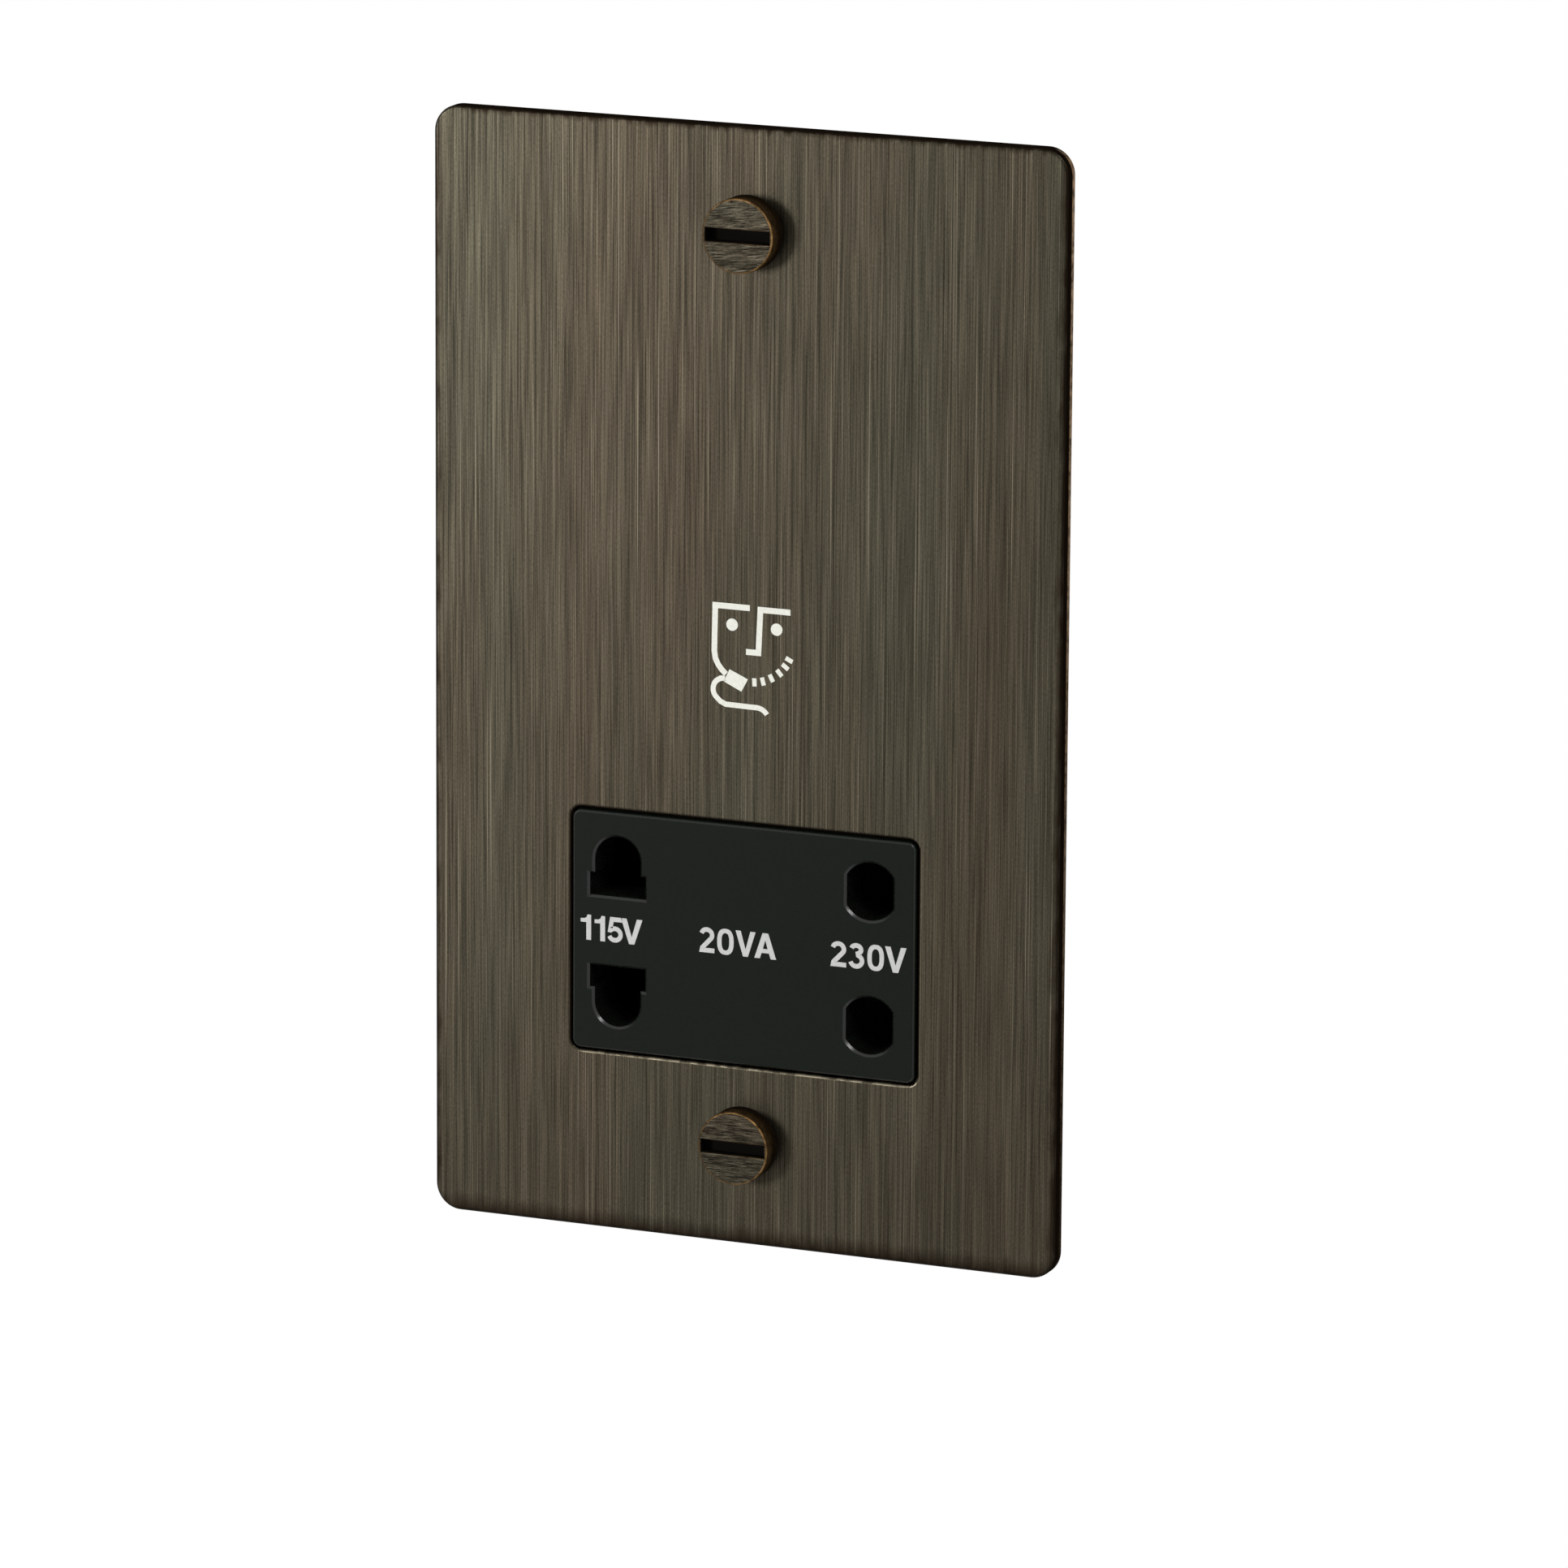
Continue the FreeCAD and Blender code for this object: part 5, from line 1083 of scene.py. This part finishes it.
class SOCKET_OT_sign(bpy.types.Operator):
    """Print the common shaver sign on the plate"""

    bl_idname = "socket.sign"
    bl_label = "Shaver sign"

    # All in millimetres. The dashes stand for the shaved chin, each given by its middle.
    dashes = [(1.37, 1.47), (2.55, 1.69), (3.73, 2.23), (4.85, 3.01), (5.67, 3.91), (6.20, 4.86)]
    dash_centre = (1.1, 7.3)
    dash_size = (0.6, 1.07)
    eyes = [(-1.80, 8.82), (4.43, 8.71)]
    eye_radius = 0.81
    shaver = [(-2.13, 2.90), (0.45, 1.78), (-0.45, 0.07), (-2.92, 1.22)]
    cheek = [
        (0.67, 11.22), (-4.17, 11.22), (-4.28, 5.2), (-4.12, 4.2), (-3.72, 3.4), (-3.2, 2.75), (-2.62, 2.22),
    ]
    nose = [(6.34, 11.12), (2.15, 11.12), (1.91, 5.4), (0.17, 5.4)]
    cord_part = 0.9  # its stroke beside the other strokes
    cord = (
        [(-2.75, 1.62), (-3.35, 1.62)] + arc(-3.15, 0.15, 1.27, 1.4, 115, 225, 12)
        + [(-3.4, -1.45), (-2.64, -1.78), (0.9, -1.85)] + arc(1.6, -3.35, 1.75, 1.5, 88, 28, 8)
    )

    def execute(self, context):
        stroke = settings().print.sign_stroke / MM
        loops = [ribbon(self.cheek, stroke), ribbon(self.nose, stroke), self.shaver]
        loops += [arc(x, y, self.eye_radius, self.eye_radius, 0, 352.5, 47) for x, y in self.eyes]
        half_wide, half_long = self.dash_size[0] / 2, self.dash_size[1] / 2
        for dash in self.dashes:
            middle = Vector(dash)
            out = (middle - Vector(self.dash_centre)).normalized()
            side = Vector((-out.y, out.x))
            loops.append([
                middle + out * up * half_long + side * across * half_wide
                for across, up in ((-1, -1), (1, -1), (1, 1), (-1, 1))
            ])
        loops.append(ribbon(self.cord, stroke * self.cord_part))
        printed("shaver_sign", loops, PLATE_FRONT, "ink", "bronze_plate")
        return {"FINISHED"}


class SOCKET_OT_stud_fasteners(bpy.types.Operator):
    """Model the welded studs with their threads, the washers and the nuts"""

    bl_idname = "socket.stud_fasteners"
    bl_label = "Studs, washers and nuts"

    washer_edge = 0.08 * MM
    washer_play = 0.1 * MM
    nut_edge = 0.3 * MM
    nut_play = 0.05 * MM

    def execute(self, context):
        size = settings().fastener
        stud = thread("stud", size.stud_radius, size.stud_pitch, -settings().plate.relief, PLATE_HIGH.y)
        washer = rod("washer", size.washer_radius, 0, size.washer, sides=48)
        carve(washer, rod("bore", size.stud_radius + self.washer_play, -MM, size.washer + MM, sides=32))
        sharp = lambda edge: len(edge.link_faces) == 2 and edge.calc_face_angle(0) > 1
        bevel(washer, sharp, self.washer_edge, 2)
        corner = size.flats / math.sqrt(3)
        nut = rod("nut", corner, 0, size.nut, sides=6, turn=math.radians(30))
        disc = rod("disc", corner, 0, size.nut, sides=72)
        level = lambda edge: abs(edge.verts[0].co.y - edge.verts[1].co.y) < NEAR
        carve(nut, bevel(disc, level, self.nut_edge), "INTERSECT")
        carve(nut, rod("bore", size.stud_radius + self.nut_play, -MM, size.nut + MM, sides=32))
        sets = {"plate_studs": [], "fine_washers": [], "fine_nuts": []}
        for x in (-size.stud_x, size.stud_x):
            for z in (-size.stud_z, size.stud_z):
                seat = size.ear_rear + (size.tag if x > 0 > z else 0)
                sets["plate_studs"].append(copied(stud, "stud_copy", (x, 0, z)))
                sets["fine_washers"].append(copied(washer, "washer_copy", (x, seat, z)))
                sets["fine_nuts"].append(copied(nut, "nut_copy", (x, seat + size.washer, z)))
        for piece in (stud, washer, nut):
            bpy.data.objects.remove(piece)
        dress(joined(sets["plate_studs"], "plate_studs"), "zinc_steel")
        dress(joined(sets["fine_washers"], "fine_washers"), "zinc_steel", ("stud_washers",))
        dress(joined(sets["fine_nuts"], "fine_nuts"), "zinc_steel", ("stud_nuts",), degrees=25)
        return {"FINISHED"}


class SOCKET_OT_terminal_screws(bpy.types.Operator):
    """Model the three headless screws of the terminals"""

    bl_idname = "socket.terminal_screws"
    bl_label = "Terminal screws"

    plain = 0.3 * MM
    end_long = 0.9 * MM
    end_step = 0.05 * MM
    end_edge = 0.12 * MM
    slot_half = 0.3 * MM
    slot_deep = 0.8 * MM

    def execute(self, context):
        size = settings().fastener
        front, rear, radius = size.clamp_front, size.clamp_rear, size.clamp_radius
        screw = thread("clamp", radius, size.stud_pitch, front, rear - self.plain)
        end = rod("end", radius - self.end_step, rear - self.end_long, rear, sides=32)
        carve(screw, bevel(end, sharp_at(rear), self.end_edge, 2), "UNION")
        carve(screw, block("slot", 2 * MM, self.slot_half, rear - self.slot_deep, rear + MM))
        copies = [
            copied(screw, "clamp_copy", (step * size.clamp_pitch, 0, size.clamp_z)) for step in (-1, 0, 1)
        ]
        bpy.data.objects.remove(screw)
        dress(joined(copies, "fine_terminal_screws"), "zinc_steel", ("terminal_screws",))
        return {"FINISHED"}


class SOCKET_OT_mouldings(bpy.types.Operator):
    """Clean and soften the moulded pieces behind the plate"""

    bl_idname = "socket.mouldings"
    bl_label = "Rear mouldings"

    def execute(self, context):
        refined("rear_housing", "housing_moulding", 0.25 * MM)
        refined("terminal_block", "grey_moulding", 0.2 * MM)
        # Painted shade: the contact carrier takes the shutter's near-black finish, for the shade behind the
        # pin holes.
        refined("contact_carrier", "shutter_moulding", 0)
        refined("shutter_slider", "shutter_moulding", 0.15 * MM, body="shutter")
        refined("earth_tag", "tinned_brass", 0)
        return {"FINISHED"}


class SOCKET_OT_springs(bpy.types.Operator):
    """Clean the shutter's springs, which give when the shutter slides, and split the switch leaf's nose from
    its strip
    """

    bl_idname = "socket.springs"
    bl_label = "Springs and leaf"

    # How far the nose reaches to each side, and the part of its height that the slide leaves it.
    nose_half = 2.0 * MM
    nose_kept = 0.68
    # The strip lies this far below the top of the leaf's tail, less half the thickness of its metal.
    leaf_tail = 3.6 * MM
    leaf_thick = 0.3 * MM

    def execute(self, context):
        for side in ("left", "right"):
            node = "shutter_spring_" + side
            low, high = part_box(node)
            coil = dress(cleaned(node, node + "_fine"), "spring_steel", (node,), body=None, degrees=60)
            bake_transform(coil)
        low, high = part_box("switch_leaf")
        half_z, z = (high.z - low.z) / 2 + MM, (high.z + low.z) / 2
        for name, operation in (("switch_leaf_strip", "DIFFERENCE"), ("switch_leaf_nose", "INTERSECT")):
            middle = block("nose", self.nose_half, half_z, low.y - MM, high.y + MM, 0, z)
            piece = carve(cleaned("switch_leaf", name), middle, operation)
            dress(piece, "contact_brass", ("switch_leaf",), degrees=30)
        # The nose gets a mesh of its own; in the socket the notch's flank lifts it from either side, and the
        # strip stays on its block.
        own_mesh(piece)
        return {"FINISHED"}


class SOCKET_OT_earth_lead(bpy.types.Operator):
    """Sweep the green and yellow earth lead from its tag to its terminal"""

    bl_idname = "socket.earth_lead"
    bl_label = "Earth lead"

    # The lead's way and radius, in millimetres.
    route = [
        (15.5, 3.6, -57.8), (11.0, 3.6, -57.8), (10.0, 11.5, -58.0), (14.0, 20.5, -58.6),
        (16.3, 29.5, -58.8), (13.2, 37.2, -58.2), (13.2, 37.2, -50.0),
    ]
    radius = 0.9

    def execute(self, context):
        curve = bpy.data.curves.new("earth_lead_fine", "CURVE")
        curve.dimensions = "3D"
        curve.bevel_depth = self.radius * MM
        curve.bevel_resolution = 6
        curve.resolution_u = 10
        curve.use_fill_caps = True
        spline = curve.splines.new("NURBS")
        spline.points.add(len(self.route) - 1)
        for point, place in zip(spline.points, self.route):
            point.co = (*(value * MM for value in place), 1)
        spline.order_u = 3
        spline.use_endpoint_u = True
        dress(solid(curve), "earth_lead", ("earth_lead",), degrees=60)
        return {"FINISHED"}


class SOCKET_OT_stage(bpy.types.Operator):
    """Set up the camera, the soft boxes, the pale floor and the backdrop"""

    bl_idname = "socket.stage"
    bl_label = "Camera and studio"

    def execute(self, context):
        studio = settings().studio
        self.camera(studio)
        for side in ("front", "top", "rear"):
            power, place = getattr(studio, side + "_power"), getattr(studio, side + "_place")
            self.light(side + "_box", power, studio.box_width, place)
        self.surroundings(studio)
        context.scene.view_settings.view_transform = "Standard"
        return {"FINISHED"}

    def camera(self, studio):
        data = bpy.data.cameras.new("camera")
        data.lens = studio.lens
        data.sensor_width = 36
        data.clip_end = 20
        yaw, pitch, roll = studio.yaw, studio.pitch, studio.roll
        ahead = Vector((-math.sin(yaw) * math.cos(pitch), math.cos(yaw) * math.cos(pitch), -math.sin(pitch)))
        right = Vector((math.cos(yaw), math.sin(yaw), 0))
        up = right.cross(ahead)
        across = math.cos(roll) * right + math.sin(roll) * up
        above = math.cos(roll) * up - math.sin(roll) * right
        camera = placed("camera", data)
        turned = Matrix((across, above, -ahead)).transposed().to_4x4()
        camera.matrix_world = Matrix.Translation(studio.place) @ turned
        bpy.context.scene.camera = camera

    def light(self, name, power, width, place):
        """A square soft box that points at the object."""
        data = bpy.data.lights.new(name, "AREA")
        data.energy = power
        data.size = width
        lamp = placed(name, data)
        lamp.location = place
        lamp.rotation_euler = (-Vector(place)).to_track_quat("-Z", "Y").to_euler()

    def surroundings(self, studio):
        """A pale floor and backdrop, and grey surroundings that light the object less than they are seen."""
        sheet, floor_drop, far = 6, 0.32, 3.0
        floor = added("floor", bpy.ops.mesh.primitive_plane_add, size=sheet, location=(0, 0, -floor_drop))
        backdrop = added(
            "backdrop", bpy.ops.mesh.primitive_plane_add, size=sheet,
            location=(0, far, sheet / 2 - floor_drop), rotation=(QUARTER, 0, 0),
        )
        paper, tree, shader = new_finish("white_paper", Base_Color=rgba(linear("#E4E4E2")), Roughness=0.8)
        self.show(tree, self.seen(tree), shader)
        for obj in (floor, backdrop):
            obj.data.materials.append(paper)
        self.wall()
        world = bpy.data.worlds.new("studio")
        bpy.context.scene.world = world
        world.use_nodes = True
        tree = world.node_tree
        strength = ranged(tree, self.seen(tree), 0, 1, studio.ambient, 1.0)
        wire(tree.nodes["Background"], Strength=strength)
        tree.nodes["Background"].inputs["Color"].default_value = (1, 1, 1, 1)

    def wall(self):
        """The wall that the plate lies on, with the wall box's opening, seen from the room only."""
        behind, opening, frame_wide, lap = 0.05 * MM, 0.1, 0.3, 6 * MM
        wall = added(
            "wall", bpy.ops.mesh.primitive_plane_add, size=2 * (opening + frame_wide),
            location=(0, behind, 0), rotation=(QUARTER, 0, 0),
        )
        shape(wall, "FACE", lambda face: True, bpy.ops.mesh.inset, thickness=frame_wide)
        choose(wall, "FACE", within(opening, opening, 0))
        bpy.ops.mesh.delete(type="FACE")
        bpy.ops.object.mode_set(mode="OBJECT")
        for vert in wall.data.vertices:
            if abs(vert.co.x) < 2 * opening:
                vert.co.x = math.copysign(PLATE_HIGH.x - lap, vert.co.x)
                vert.co.z = math.copysign(PLATE_HIGH.z - lap, vert.co.z)
        paint, tree = new_finish("painted_wall")[:2]
        clear = add_node(tree, "BsdfTransparent")
        self.show(tree, add_node(tree, "NewGeometry").outputs["Backfacing"], clear, swapped=True)
        wall.data.materials.append(paint)
        for ray in ("diffuse", "glossy", "transmission", "volume_scatter", "shadow"):
            setattr(wall, "visible_" + ray, False)

    def show(self, tree, factor, other, swapped=False):
        """A white glow where the factor is 1 and another shader where it is 0, or else swapped."""
        glow = add_node(tree, "Emission", {"Strength": 1.0})
        pair = [glow, other] if swapped else [other, glow]
        shaders = {1: pair[0].outputs[0], 2: pair[1].outputs[0]}
        blend = add_node(tree, "MixShader", {0: factor, **shaders})
        tree.links.new(blend.outputs[0], tree.nodes["Material Output"].inputs[0])

    def seen(self, tree):
        """1 where the camera, a reflection or a clear view sees the surface, 0 where it gives light."""
        path = add_node(tree, "LightPath").outputs
        either = worked(tree, "MAXIMUM", path["Is Camera Ray"], path["Is Glossy Ray"])
        return worked(tree, "MAXIMUM", either, path["Is Transmission Ray"])


GROUPS = (PlateSizes, ScrewSizes, InsertSizes, PrintSizes, FastenerSizes, Colours, Studio, SocketSettings)
OPERATORS = (
    SOCKET_OT_finishes, SOCKET_OT_face_plate, SOCKET_OT_fixing_screws, SOCKET_OT_insert, SOCKET_OT_numbers,
    SOCKET_OT_sign, SOCKET_OT_stud_fasteners, SOCKET_OT_terminal_screws, SOCKET_OT_mouldings,
    SOCKET_OT_springs, SOCKET_OT_earth_lead, SOCKET_OT_stage,
)


class SOCKET_PT_panel(bpy.types.Panel):
    """Lists the steps that build the shaver socket"""

    bl_idname = "SOCKET_PT_panel"
    bl_label = "Shaver Socket"
    bl_space_type = "VIEW_3D"
    bl_region_type = "UI"
    bl_category = "Shaver Socket"

    def draw(self, context):
        for operator in OPERATORS:
            self.layout.operator(operator.bl_idname)


def register():
    for item in (*GROUPS, *OPERATORS, SOCKET_PT_panel):
        bpy.utils.register_class(item)
    bpy.types.Scene.shaver_socket = bpy.props.PointerProperty(type=SocketSettings)


def unregister():
    del bpy.types.Scene.shaver_socket
    for item in reversed((*GROUPS, *OPERATORS, SOCKET_PT_panel)):
        bpy.utils.unregister_class(item)


def main():
    register()
    for operator in OPERATORS:
        group, name = operator.bl_idname.split(".")
        getattr(getattr(bpy.ops, group), name)()
    lone()


if __name__ == "__main__":
    main()
